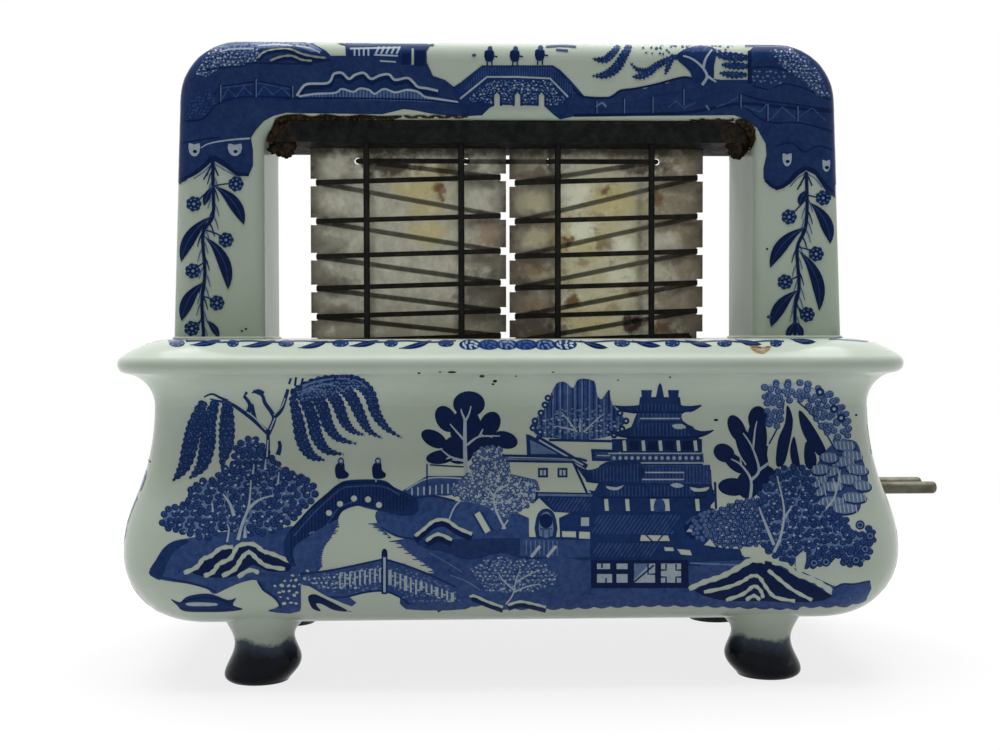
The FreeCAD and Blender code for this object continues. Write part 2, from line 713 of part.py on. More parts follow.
def strip(front, start, end):
    """Ribbon along a card face between two (x, z) points."""
    half = d.ribbon_width / 2
    corners = [(start[0], start[1] - half), (end[0], end[1] - half),
               (end[0], end[1] + half), (start[0], start[1] + half)]
    return prism(corners, *face_span(front))


def plug(x):
    """The ribbon's passage through an anchor hole."""
    base = FreeCAD.Vector(number(x), -number(card_face), number(anchor_z))
    return Part.makeCylinder(number(d.anchor_plug_radius), number(d.card_sheet), base, Y_AXIS)


def least_gap(runs):
    """Least clear distance between runs on the same face, measured on points along them."""
    share_steps = [step / 20 for step in range(21)]
    gaps = []
    for first, (front, start, end) in enumerate(runs):
        for other_front, other_start, other_end in runs[first + 1:]:
            if other_front != front:
                continue
            for share in share_steps:
                z = number(start[1]) + share * number(end[1] - start[1])
                x = number(start[0]) + share * number(end[0] - start[0])
                for other_share in share_steps:
                    other_z = number(other_start[1]) + other_share * number(other_end[1] - other_start[1])
                    other_x = number(other_start[0]) + other_share * number(other_end[0] - other_start[0])
                    gaps.append(math.hypot(x - other_x, z - other_z))
    return min(gaps) - number(d.ribbon_width)


def make_heating_ribbon(label, side):
    """Ribbon wound down a card from its outer anchor, folded in each notch, with a tail for the lead."""
    centre = card_x * side
    first_notch = -side
    half = d.ribbon_width / 2

    def notch(where, turn):
        x = centre + (card_half - d.notch_depth + d.ribbon_sheet) * where
        return (x, notch_z(turn) + d.notch_tilt if where > 0 else notch_z(turn))

    last = NOTCH_COUNT - 1
    tail_x = centre + (card_half - d.tail_inset) * side
    tail_on_front = side > 0
    tail_top = notch(side, last)[1]
    folds = [(first_notch, turn) for turn in range(NOTCH_COUNT)]
    folds += [(side, turn) for turn in range(NOTCH_COUNT if not tail_on_front else last)]
    runs = [(False, (anchor_outer_x * side, anchor_z), notch(first_notch, 0))]
    for turn in range(NOTCH_COUNT):
        end = notch(side, turn)
        if turn == last and tail_on_front:
            end = (tail_x, tail_top)
        runs.append((True, notch(first_notch, turn), end))
        if turn < last:
            runs.append((False, notch(side, turn), notch(first_notch, turn + 1)))
    print(f"{label}: least gap between turns {least_gap(runs):.2f} mm")
    solids = [strip(*run) for run in runs]
    if not tail_on_front:
        solids.append(strip(False, notch(side, last), (tail_x, tail_top)))
    tail = [(tail_x - half, tail_top - d.tail_length), (tail_x + half, tail_top - d.tail_length),
            (tail_x + half, tail_top), (tail_x - half, tail_top)]
    solids.append(prism(tail, *face_span(tail_on_front)))
    solids.append(plug(anchor_outer_x * side))
    fold_half = half - d.ribbon_fold_inset
    for where, turn in folds:
        outer_x, level = notch(where, turn)
        inner_x = outer_x - d.ribbon_sheet * where
        solids.append(prism([(inner_x, level - fold_half), (outer_x, level - fold_half),
                             (outer_x, level + fold_half), (inner_x, level + fold_half)],
                            -ribbon_face, ribbon_face))
    ribbon = doc.addObject("Part::Feature", label)
    ribbon.Label = label
    ribbon.Shape = solids[0].fuse(solids[1:]).removeSplitter()
    return ribbon


def make_ribbon_jumper():
    """Ribbon that threads both cards' anchor holes and joins the two windings."""
    outer = (anchor_outer_x, anchor_z)
    inner = (anchor_inner_x, anchor_z)
    solids = [strip(True, (-outer[0], anchor_z), (-inner[0], anchor_z)), strip(True, inner, outer),
              strip(False, (-inner[0], anchor_z), inner), plug(-inner[0]), plug(inner[0])]
    jumper = doc.addObject("Part::Feature", "ribbon_jumper")
    jumper.Label = "ribbon_jumper"
    jumper.Shape = solids[0].fuse(solids[1:]).removeSplitter()
    return jumper


# Bottom plate, studs and their nuts
def make_bottom_plate():
    body = new_body("bottom_plate")
    plan = new_sketch(body, "plan", "XY_Plane", plate_bottom_z)
    draw_rounded_rectangle(plan, stud_x + d.bottom_plate_end, d.bottom_plate_half_depth,
                           d.bottom_plate_corner)
    for x in (-stud_x, stud_x):
        draw_circle(plan, x, 0, stud_hole_radius)
    extrude(body, "Pad", "sheet", plan, d.bottom_plate_sheet)
    return body


def make_stud(label, x):
    """Stud riveted into the sill; it runs down through the base to its nut."""
    body = new_body(label)
    half = new_sketch(body, "half_section", "XZ_Plane")
    end_z = nut_bottom_z - d.stud_tail
    draw_polygon(half, [(0, end_z), (d.stud_radius, end_z), (d.stud_radius, sill_top_z),
                        (d.stud_head_radius, sill_top_z),
                        (d.stud_head_radius, sill_top_z + d.stud_head_height),
                        (0, sill_top_z + d.stud_head_height)])
    revolve(body, "stud", half, "V_Axis")
    place(body, x)
    return body


def draw_hexagon(sketch, x, y, across_flats):
    corner = across_flats / math.sqrt(3)
    angles = [math.radians(30 + 60 * side) for side in range(6)]
    draw_polygon(sketch, [(x + corner * math.cos(a), y + corner * math.sin(a)) for a in angles])


def make_pair(label, plane, level, thickness, centres, hole_radius, outer_radius=None, across_flats=None):
    """Two like washers or nuts in one node, padded from a level along the plane's normal."""
    body = new_body(label)
    body.AllowCompound = True
    plan = new_sketch(body, "plan", plane, level)
    for x, y in centres:
        if across_flats is None:
            draw_circle(plan, x, y, outer_radius)
        else:
            draw_hexagon(plan, x, y, across_flats)
        draw_circle(plan, x, y, hole_radius)
    extrude(body, "Pad", "pair", plan, thickness)
    return body


def make_stud_fasteners():
    centres = [(-stud_x, as_size(0)), (stud_x, as_size(0))]
    hole = d.stud_radius + d.thread_clearance
    washers = make_pair("stud_washers", "XY_Plane", washer_bottom_z, d.washer_sheet, centres, hole,
                        outer_radius=d.washer_radius)
    nuts = make_pair("stud_nuts", "XY_Plane", nut_bottom_z, d.nut_height, centres, hole,
                     across_flats=d.nut_across_flats)
    return [washers, nuts]


# Terminal pins, their fasteners and the lead wires
def make_terminal_pin(label, y):
    body = new_body(label)
    half = new_sketch(body, "half_section", "XZ_Plane")
    collar_x = terminal_seat_x + d.terminal_collar_height
    tip_x = collar_x + d.terminal_length
    draw_polygon(half, [(terminal_end_x, 0), (tip_x, 0), (tip_x, d.terminal_radius),
                        (collar_x, d.terminal_radius), (collar_x, d.terminal_collar_radius),
                        (terminal_seat_x, d.terminal_collar_radius),
                        (terminal_seat_x, d.terminal_shank_radius),
                        (terminal_end_x, d.terminal_shank_radius)])
    pin = revolve(body, "pin", half, "H_Axis")
    round_edges(body, "nose", pin, d.terminal_nose,
                lambda edge: math.isclose(edge.BoundBox.XMin, tip_x.value,
                                          abs_tol=d.thread_clearance.value))
    place(body, 0, y, d.terminal_height)
    return body


def make_terminal_fasteners():
    centres = [(-terminal_y, d.terminal_height), (terminal_y, d.terminal_height)]
    hole = d.terminal_shank_radius + d.thread_clearance
    washers = make_pair("terminal_washers", "YZ_Plane", terminal_nut_x, d.terminal_washer_sheet, centres,
                        hole, outer_radius=d.terminal_washer_radius)
    nuts = make_pair("terminal_nuts", "YZ_Plane", terminal_nut_x - d.terminal_nut_height,
                     d.terminal_nut_height, centres, hole, across_flats=d.terminal_nut_across_flats)
    return [washers, nuts]


def bent_path(points, bend):
    """Straight runs joined by tangent arcs of one radius."""
    edges = []
    start = points[0]
    for before, corner, after in zip(points, points[1:], points[2:]):
        back = (before - corner).normalize()
        onward = (after - corner).normalize()
        half_angle = back.getAngle(onward) / 2
        setback = bend / math.tan(half_angle)
        bisector = (back + onward).normalize()
        middle = corner + bisector * (bend / math.sin(half_angle) - bend)
        edges.append(Part.LineSegment(start, corner + back * setback).toShape())
        edges.append(Part.Arc(corner + back * setback, middle, corner + onward * setback).toShape())
        start = corner + onward * setback
    edges.append(Part.LineSegment(start, points[-1]).toShape())
    return Part.Wire(edges)


def make_lead_wire(label, side):
    """Lead from a ribbon's tail, down inside the base and across to its terminal pin."""
    facing = -side
    x = (card_edge_x - d.tail_inset) * side
    tail_tilt = d.notch_tilt if side > 0 else as_size(0)
    z = notch_z(NOTCH_COUNT - 1) + tail_tilt - d.tail_length + d.lead_radius
    y = terminal_y * facing
    route = [(x, ribbon_face * facing, z), (x, y, z), (x, y, d.terminal_height),
             (terminal_end_x, y, d.terminal_height)]
    points = [FreeCAD.Vector(*(number(value) for value in point)) for point in route]
    path = bent_path(points, number(d.lead_bend))
    ring = Part.Wire(Part.Circle(points[0], points[1] - points[0], number(d.lead_radius)).toShape())
    lead = doc.addObject("Part::Feature", label)
    lead.Label = label
    lead.Shape = path.makePipeShell([ring], True, False)
    return lead


def check_and_write(pieces):
    doc.recompute()
    failed = [item.Label for item in doc.Objects if "Invalid" in item.State or "Error" in item.State]
    failed += [piece.Label for piece in pieces if piece.Shape.isNull() or not piece.Shape.isValid()]
    if failed:
        raise RuntimeError(f"not built: {failed}")
    os.makedirs("parts", exist_ok=True)
    for piece in pieces:
        piece.Shape.exportStep(os.path.join("parts", f"{piece.Label}.step"))
        box = piece.Shape.optimalBoundingBox(True, False)
        print(f"{piece.Label}: {len(piece.Shape.Solids)} solids, {piece.Shape.Volume:.0f} mm3, "
              f"{box.XLength:.1f} x {box.YLength:.1f} x {box.ZLength:.1f} mm")


def make_toaster():
    pieces = [make_base_shell(), make_arch(), make_upper_rail(), make_sill()]
    for row, y in (("front", -d.guard_depth), ("rear", d.guard_depth)):
        for place_number, x in enumerate(guard_x, start=1):
            pieces.append(make_guard_wire(f"{row}_guard_wire_{place_number}", x, y))
    for name, side in (("left", -1), ("right", 1)):
        pieces.append(make_mica_card(f"{name}_mica_card", side))
        pieces.append(make_heating_ribbon(f"{name}_heating_ribbon", side))
        pieces.append(make_lead_wire(f"{name}_lead_wire", side))
        pieces.append(make_stud(f"{name}_stud", stud_x * side))
    pieces.append(make_ribbon_jumper())
    pieces.append(make_bottom_plate())
    pieces += make_stud_fasteners()
    for name, y in (("front", -terminal_y), ("rear", terminal_y)):
        pieces.append(make_terminal_pin(f"{name}_terminal_pin", y))
    pieces += make_terminal_fasteners()
    return pieces


check_and_write(make_toaster())
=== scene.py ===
"""Looks of the porcelain perch toaster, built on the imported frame.

Lengths are metres unless a comment says otherwise. The front's prints are drawn in pixels of a 1000 by 750 picture.
"""
import math
import random
import bmesh
import bpy
import numpy as np
from mathutils import Matrix, Vector, noise as field
from mathutils.bvhtree import BVHTree
from mathutils.geometry import delaunay_2d_cdt


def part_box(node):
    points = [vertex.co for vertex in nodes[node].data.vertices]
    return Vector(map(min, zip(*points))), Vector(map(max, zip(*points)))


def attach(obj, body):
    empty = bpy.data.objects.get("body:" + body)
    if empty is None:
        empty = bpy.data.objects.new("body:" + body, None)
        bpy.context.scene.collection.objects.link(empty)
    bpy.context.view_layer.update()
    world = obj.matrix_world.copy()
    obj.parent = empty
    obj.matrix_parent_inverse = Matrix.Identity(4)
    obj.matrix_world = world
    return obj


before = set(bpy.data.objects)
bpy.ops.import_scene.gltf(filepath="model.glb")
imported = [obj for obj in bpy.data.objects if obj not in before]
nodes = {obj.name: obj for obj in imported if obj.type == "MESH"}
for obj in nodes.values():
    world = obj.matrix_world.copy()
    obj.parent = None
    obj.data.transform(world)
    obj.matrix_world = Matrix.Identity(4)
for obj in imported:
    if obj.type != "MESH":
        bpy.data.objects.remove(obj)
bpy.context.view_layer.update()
MM = 0.001
IMAGE_WIDTH = 1000
IMAGE_HEIGHT = 750
scene = bpy.context.scene

# Camera, fitted to the photograph
FOCAL_PIXELS = 1420
SENSOR_WIDTH = 36
NEAR_CLIP = 0.01
CAMERA_PLACE = Vector((-16.63, -379.16, 83.52)) * MM
YAW, PITCH, ROLL = (math.radians(angle) for angle in (2.19, 1.64, -0.1))


def camera_axes():
    forward = Vector((math.sin(YAW) * math.cos(PITCH), math.cos(YAW) * math.cos(PITCH), -math.sin(PITCH)))
    level = Vector((math.cos(YAW), -math.sin(YAW), 0))
    upright = level.cross(forward)
    right = math.cos(ROLL) * level + math.sin(ROLL) * upright
    up = math.cos(ROLL) * upright - math.sin(ROLL) * level
    return right, up, forward


def make_camera():
    right, up, forward = camera_axes()
    lens = bpy.data.cameras.new("camera")
    lens.sensor_width = SENSOR_WIDTH
    lens.lens = FOCAL_PIXELS * SENSOR_WIDTH / IMAGE_WIDTH
    lens.clip_start = NEAR_CLIP
    camera = bpy.data.objects.new("camera", lens)
    turn = Matrix((right, up, -forward)).transposed()
    camera.matrix_world = Matrix.Translation(CAMERA_PLACE) @ turn.to_4x4()
    scene.collection.objects.link(camera)
    scene.camera = camera


# Material helpers. The colour mix node has sockets of the same name, so these are told apart by number.
MIX_FIRST, MIX_SECOND, MIX_RESULT = 6, 7, 2


def feed(tree, socket, value):
    """Links a socket to another node's output, or sets it where the value is plain."""
    if hasattr(value, "links"):
        tree.links.new(value, socket)
    else:
        socket.default_value = value


def add_node(tree, kind, inputs=None, **attributes):
    made = tree.nodes.new(kind)
    for name, value in attributes.items():
        setattr(made, name, value)
    for name, value in (inputs or {}).items():
        feed(tree, made.inputs[name], value)
    return made


def new_material(name, **sockets):
    material = bpy.data.materials.new(name)
    material.use_nodes = True
    shader = material.node_tree.nodes["Principled BSDF"]
    for socket, value in sockets.items():
        shader.inputs[socket.replace("_", " ")].default_value = value
    return material, material.node_tree, shader


def place(tree):
    return add_node(tree, "ShaderNodeTexCoord").outputs["Object"]


def noise(tree, scale, detail=4.0, rough=0.55, vector=None, output="Fac"):
    made = add_node(tree, "ShaderNodeTexNoise", {"Scale": scale, "Detail": detail, "Roughness": rough,
                                                 "Vector": vector or place(tree)})
    return made.outputs[output]


def remap(tree, value, low, high, to_low=0.0, to_high=1.0):
    made = add_node(tree, "ShaderNodeMapRange", {"Value": value, "From Min": low, "From Max": high,
                                                 "To Min": to_low, "To Max": to_high})
    return made.outputs["Result"]


def blend(tree, share, first, second):
    made = add_node(tree, "ShaderNodeMix", {"Factor": share}, data_type="RGBA")
    for socket, tone in ((MIX_FIRST, first), (MIX_SECOND, second)):
        feed(tree, made.inputs[socket], (*tone, 1) if isinstance(tone, tuple) else tone)
    return made.outputs[MIX_RESULT]


def calc(tree, operation, first, second=0.0):
    return add_node(tree, "ShaderNodeMath", {0: first, 1: second}, operation=operation).outputs["Value"]


def part_of(tree, vector, axis):
    return add_node(tree, "ShaderNodeSeparateXYZ", {"Vector": vector}).outputs[axis]


def add_bump(tree, shader, height, strength, distance):
    made = add_node(tree, "ShaderNodeBump", {"Height": height, "Strength": strength, "Distance": distance})
    tree.links.new(made.outputs["Normal"], shader.inputs["Normal"])


def paint(tree, shader, tone, rough=None):
    tree.links.new(tone, shader.inputs["Base Color"])
    if rough is not None:
        tree.links.new(rough, shader.inputs["Roughness"])


def paint_glazed(tree, shader, tone):
    """A tone under fired glaze, with slightly uneven gloss and a faint ripple."""
    paint(tree, shader, tone, remap(tree, noise(tree, 60, 4), 0.3, 0.7, 0.1, 0.2))
    add_bump(tree, shader, noise(tree, 55, 3), 0.12, 0.0006)


# Materials
PORCELAIN = (0.53, 0.605, 0.52)
PORCELAIN_DULL = (0.48, 0.545, 0.46)
PINHOLE_BROWN = (0.09, 0.06, 0.035)
COBALT_DIP = (0.004, 0.006, 0.012)
COBALT_EDGE = (0.02, 0.035, 0.09)
SCRAPED_GREY = (0.12, 0.13, 0.12)
# Heights on the feet: the top of the pale wash, the top of the dip, and where the dip is full
WASH_TOP, DIP_TOP, DIP_FULL = 0.0105, 0.0093, 0.006
DIP_RAGGED = 0.0016


def make_glaze(name, dipped_feet, refraction):
    """Milky glaze with cloudy tone, brown pinholes and, on the feet, a dark cobalt dip."""
    material, tree, shader = new_material(name, Specular_IOR_Level=0.1, IOR=refraction)
    tone = blend(tree, remap(tree, noise(tree, 28, 5), 0.35, 0.7), PORCELAIN, PORCELAIN_DULL)
    spots = add_node(tree, "ShaderNodeTexVoronoi", {"Scale": 95, "Vector": place(tree)})
    rare = remap(tree, noise(tree, 40, 2), 0.66, 0.7)
    speck = calc(tree, "MULTIPLY", remap(tree, spots.outputs["Distance"], 0.1, 0.06), rare)
    tone = blend(tree, calc(tree, "MULTIPLY", speck, 0.7), tone, PINHOLE_BROWN)
    if dipped_feet:
        uneven = remap(tree, noise(tree, 120, 5, 0.6), 0.3, 0.7, -DIP_RAGGED, DIP_RAGGED)
        height = calc(tree, "ADD", part_of(tree, place(tree), "Z"), uneven)
        wash = remap(tree, height, WASH_TOP, DIP_TOP)
        dip = remap(tree, height, DIP_TOP, DIP_FULL)
        streak = remap(tree, noise(tree, 260, 6, 0.7), 0.45, 0.75)
        scraped = calc(tree, "MULTIPLY", remap(tree, noise(tree, 85, 5, 0.6), 0.63, 0.7), 0.6)
        tone = blend(tree, calc(tree, "MULTIPLY", wash, 0.9), tone, COBALT_EDGE)
        dark = blend(tree, calc(tree, "MULTIPLY", streak, 0.35), COBALT_DIP, COBALT_EDGE)
        dark = blend(tree, scraped, dark, SCRAPED_GREY)
        tone = blend(tree, dip, tone, dark)
    paint_glazed(tree, shader, tone)
    return material


def make_ink(name, light, dark, grain_share=0.5, gloss=0.05):
    """Print under the glaze: cloudy strength and the mottle of fine engraving."""
    material, tree, shader = new_material(name, Specular_IOR_Level=gloss)
    cloud = remap(tree, noise(tree, 110, 5, 0.6), 0.32, 0.68)
    grain = remap(tree, noise(tree, 750, 5, 0.65), 0.36, 0.64)
    share = calc(tree, "ADD", calc(tree, "MULTIPLY", cloud, 1 - grain_share),
                 calc(tree, "MULTIPLY", grain, grain_share))
    paint_glazed(tree, shader, blend(tree, share, light, dark))
    return material


def make_metal(name, clean, stained, rough, spot_scale=220, metallic=0.8, gloss=0.5):
    """Dull metal with stained patches and fine pitting."""
    material, tree, shader = new_material(name, Metallic=metallic, Specular_IOR_Level=gloss)
    patches = remap(tree, noise(tree, spot_scale, 6, 0.65), 0.42, 0.66)
    paint(tree, shader, blend(tree, patches, clean, stained),
          remap(tree, noise(tree, spot_scale * 3, 4), 0.3, 0.7, rough, rough + 0.25))
    add_bump(tree, shader, noise(tree, spot_scale * 4, 5, 0.7), 0.3, 0.0002)
    return material


# How far along the rail its rust starts and is full, and how uneven that edge is
RUST_STARTS, RUST_FULL, RUST_RAGGED = 0.054, 0.062, 0.008


def make_rail_metal():
    """Scaled dark steel that turns to brown rust towards its ends."""
    material, tree, shader = new_material("rail_steel_scaled", Specular_IOR_Level=0.05)
    uneven = remap(tree, noise(tree, 130, 5), 0.3, 0.7, -RUST_RAGGED, RUST_RAGGED)
    reach = calc(tree, "ADD", calc(tree, "ABSOLUTE", part_of(tree, place(tree), "X")), uneven)
    rust = remap(tree, reach, RUST_STARTS, RUST_FULL)
    scale = blend(tree, remap(tree, noise(tree, 420, 6, 0.7), 0.4, 0.7),
                  (0.012, 0.0135, 0.0145), (0.034, 0.034, 0.034))
    brown = blend(tree, remap(tree, noise(tree, 520, 6, 0.7), 0.42, 0.66),
                  (0.025, 0.019, 0.013), (0.1, 0.064, 0.033))
    paint(tree, shader, blend(tree, rust, scale, brown), remap(tree, noise(tree, 300, 4), 0.3, 0.7, 0.5, 0.85))
    add_bump(tree, shader, noise(tree, 700, 6, 0.7), 0.6, 0.0004)
    return material


def make_braid():
    """Woven sleeve of the leads."""
    material, tree, shader = new_material("lead_braid_woven", Roughness=0.9)
    weave = add_node(tree, "ShaderNodeTexWave", {"Scale": 700, "Distortion": 2.0, "Vector": place(tree)},
                     bands_direction="DIAGONAL").outputs["Fac"]
    paint(tree, shader, blend(tree, weave, (0.2, 0.17, 0.12), (0.34, 0.3, 0.22)))
    add_bump(tree, shader, weave, 0.8, 0.0003)
    return material


MICA_GREY = (0.36, 0.355, 0.28)
MICA_PALE = (0.66, 0.65, 0.54)
MICA_DULL = (0.29, 0.27, 0.2)
MICA_SOOT = (0.07, 0.058, 0.042)
MICA_WHITE = (0.8, 0.82, 0.66)
MICA_CREAM = (0.6, 0.57, 0.36)
MICA_YELLOW = (0.58, 0.51, 0.25)
MICA_TAN = (0.235, 0.19, 0.125)
MICA_PINK = (0.35, 0.26, 0.175)
MICA_BROWN = (0.15, 0.07, 0.024)
MICA_BURNT = (0.03, 0.017, 0.011)
# Millimetres: the cards' middles, the ribbon's turns, and where the sooty strips and edges start and are full
CARD_MIDDLE = 26.3
RIBBON_TURNS = (123.8, 113.5, 104.2, 95.8, 88.3)
STRIP_STARTS, STRIP_FULL = 11.0, 17.0
EDGE_STARTS, EDGE_FULL = 20.5, 26.0
# Stains of the two cards, in millimetres: x, z, half width, half height, then strength and tint
LEFT_STAINS = ((-23, 121.8, 7, 3, 0.8, MICA_YELLOW), (-22, 116.5, 5, 2, 0.7, MICA_YELLOW),
    (-21.4, 110.6, 4.4, 3, 0.85, MICA_YELLOW), (-22, 126.5, 8, 2, 0.6, MICA_YELLOW),
    (-18, 121.8, 1.7, 2.4, 0.9, MICA_BROWN), (-17, 127, 2, 1.5, 0.6, MICA_BROWN), (-4.5, 110, 4, 3.5, 0.85, MICA_PINK),
    (-5, 101, 5, 3.5, 0.6, MICA_DULL), (-5, 91, 8, 9, 0.75, MICA_SOOT), (-31.5, 128.5, 7.5, 3, 0.95, MICA_SOOT),
    (-26, 134, 32, 3.2, 0.85, MICA_SOOT), (-12.5, 128, 4, 3.5, 0.75, MICA_SOOT), (-47, 97, 6, 3, 0.6, MICA_SOOT),
    (-46, 88.5, 8, 3, 0.5, MICA_SOOT), (-46.5, 107, 4, 3, 0.45, MICA_SOOT), (-26, 91, 16, 3, 0.45, MICA_DULL),
    (-26, 83.5, 32, 4.5, 0.7, MICA_DULL))
RIGHT_STAINS = ((24, 104, 12, 24, 0.75, MICA_CREAM), (6, 105, 8, 40, 0.6, MICA_TAN),
    (6.5, 118.5, 4.6, 2.6, 0.5, MICA_CREAM), (7.5, 109.2, 5, 2.6, 0.5, MICA_CREAM), (9, 99.6, 4, 2.2, 0.4, MICA_CREAM),
    (23.8, 114.6, 2.6, 1.0, 0.6, MICA_BROWN), (20, 103.4, 2, 1.2, 0.5, MICA_BROWN), (13, 101, 2.5, 1, 0.5, MICA_BROWN),
    (27, 90, 3, 1, 0.5, MICA_BROWN), (14, 88, 2.5, 1.4, 0.6, MICA_BROWN), (3.4, 96, 3, 2.4, 0.7, MICA_SOOT),
    (3, 113, 3, 2, 0.6, MICA_SOOT), (46, 106, 8.5, 34, 0.78, MICA_TAN), (28, 119, 7, 4, 0.8, MICA_YELLOW),
    (20, 110, 8, 5, 0.6, MICA_YELLOW), (22, 87, 8, 3.5, 0.7, MICA_YELLOW), (18, 120.5, 3, 3.5, 0.8, MICA_WHITE),
    (19.8, 111.5, 3.4, 3, 0.85, MICA_WHITE), (30.5, 106.8, 4, 2.4, 0.8, MICA_WHITE), (30, 99, 4, 3, 0.6, MICA_WHITE),
    (42, 107, 4, 3, 0.7, MICA_PALE), (42, 98.5, 4, 3, 0.6, MICA_PALE), (26.7, 121.3, 1.3, 1.4, 0.8, MICA_BROWN),
    (16.2, 108.4, 1.5, 1.4, 0.9, MICA_BROWN), (26, 106.8, 2.4, 1.6, 0.6, MICA_BROWN),
    (17.6, 92.3, 2, 2, 0.9, MICA_BROWN), (33.4, 95.4, 2, 1.3, 0.7, MICA_BROWN), (5.5, 101.5, 4, 3, 0.6, MICA_BROWN),
    (7, 91, 4, 2.4, 0.5, MICA_BROWN), (40.4, 120.2, 1.6, 2.2, 0.7, MICA_BROWN), (41, 84.8, 2.6, 1.6, 0.8, MICA_BROWN),
    (33.6, 86.4, 2.7, 2.7, 0.97, MICA_BURNT), (6, 84.3, 8, 4, 0.85, MICA_SOOT), (26, 133.6, 32, 3, 0.85, MICA_SOOT),
    (36, 128.2, 7, 2.4, 0.8, MICA_SOOT), (10, 126.2, 7, 2.2, 0.6, MICA_SOOT), (47, 84.5, 6, 3, 0.5, MICA_SOOT))


def make_mica(name, middle, stains, browned):
    """Cloudy mica that lets tinted light through, stained by heat and sooty along its edges and ribbon turns."""
    material, tree, shader = new_material(name, Roughness=0.5, Specular_IOR_Level=0.1, Transmission_Weight=0.64,
                                          IOR=1.25)

    def move(operation, first, second):
        return add_node(tree, "ShaderNodeVectorMath", {0: first, 1: second}, operation=operation).outputs["Vector"]

    wander = move("SUBTRACT", noise(tree, 170, 4, 0.6, output="Color"), (0.5, 0.5, 0.5))
    where = move("ADD", move("MULTIPLY", place(tree), (1 / MM, 0, 1 / MM)), move("MULTIPLY", wander, (6, 0, 6)))
    ragged = remap(tree, noise(tree, 420, 8, 0.75), 0.3, 0.7, -0.6, 0.6)
    streak = noise(tree, 1.6, 4, 0.6, vector=move("MULTIPLY", where, (0.5, 0, 0.12)))
    tone = blend(tree, remap(tree, noise(tree, 300, 8, 0.75), 0.32, 0.68), MICA_GREY, MICA_PALE)
    tone = blend(tree, remap(tree, streak, 0.5, 0.75, 0.0, 0.3), tone, MICA_DULL)
    aside = calc(tree, "ABSOLUTE", calc(tree, "SUBTRACT", part_of(tree, where, "X"), middle))
    height = part_of(tree, where, "Z")
    lines = 0.0
    for turn in RIBBON_TURNS:
        apart = calc(tree, "ABSOLUTE", calc(tree, "SUBTRACT", height, turn))
        lines = calc(tree, "MAXIMUM", lines, remap(tree, apart, 3.0, 0.4, 0.0, 0.75))
    soot = calc(tree, "MAXIMUM", remap(tree, aside, EDGE_STARTS, EDGE_FULL, 0.0, 0.85),
                calc(tree, "MULTIPLY", lines, remap(tree, aside, STRIP_STARTS, STRIP_FULL)))
    for x, z, wide, tall, share, tint in stains:
        inside = move("MULTIPLY", move("SUBTRACT", where, (x, 0, z)), (1 / wide, 0, 1 / tall))
        reach = add_node(tree, "ShaderNodeVectorMath", {0: inside}, operation="LENGTH").outputs["Value"]
        mask = remap(tree, calc(tree, "ADD", reach, ragged), 1.35, 0.65, 0.0, share)
        tone = blend(tree, mask, tone, tint)
    for scale, low, high, share, tint in ((210, 0.53, 0.66, 0.45, MICA_WHITE), (265, 0.55, 0.66, browned, MICA_BROWN)):
        tone = blend(tree, remap(tree, noise(tree, scale, 7, 0.72), low, high, 0.0, share), tone, tint)
    tone = blend(tree, remap(tree, noise(tree, 800, 7, 0.75), 0.56, 0.74, 0.0, 0.5), tone, MICA_SOOT)
    frayed = calc(tree, "MULTIPLY", ragged, calc(tree, "MULTIPLY", soot, 0.8))
    paint(tree, shader, blend(tree, calc(tree, "ADD", soot, frayed), tone, MICA_SOOT))
    add_bump(tree, shader, noise(tree, 420, 5, 0.6), 0.15, 0.0002)
    return material


# Drawing kit: painted shapes, the last one on top. The first ink leaves the glaze clear.
CLEAR, PALE, LIGHT, MID, DARK, DEEP, BAND, SOOT, RUST, WASH = range(10)


def spline(points, closed, steps):
    """Catmull-Rom curve through the points."""
    count = len(points)
    curve = []
    for k in range(count if closed else count - 1):
        if closed:
            a, b, c, d = (points[(k + j) % count] for j in (-1, 0, 1, 2))
        else:
            a, b, c, d = (points[min(max(k + j, 0), count - 1)] for j in (-1, 0, 1, 2))
        for step in range(steps):
            t = step / steps
            curve.append(tuple(0.5 * (2 * q + (r - p) * t + (2 * p - 5 * q + 4 * r - s) * t * t
                                      + (3 * q - p - 3 * r + s) * t ** 3) for p, q, r, s in zip(a, b, c, d)))
    if not closed:
        curve.append(points[-1])
    return curve


def widened(path, half_width):
    """Outline of a path that reaches half_width(k) to each side at its point k."""
    left, right = [], []
    last = len(path) - 1
    for k, (x, y) in enumerate(path):
        (xa, ya), (xb, yb) = path[max(k - 1, 0)], path[min(k + 1, last)]
        run = math.hypot(xb - xa, yb - ya) or 1
        half = half_width(k)
        left.append((x - (yb - ya) / run * half, y + (xb - xa) / run * half))
        right.append((x + (yb - ya) / run * half, y - (xb - xa) / run * half))
    return left + right[::-1]


def contains(outline, x, y):
    """Nonzero winding test of many points at once."""
    turns = np.zeros(len(x), int)
    for (x0, y0), (x1, y1) in zip(outline, outline[1:] + outline[:1]):
        side = (x1 - x0) * (y - y0) - (x - x0) * (y1 - y0)
        turns += (y0 <= y) & (y1 > y) & (side > 0)
        turns -= (y0 > y) & (y1 <= y) & (side < 0)
    return turns != 0


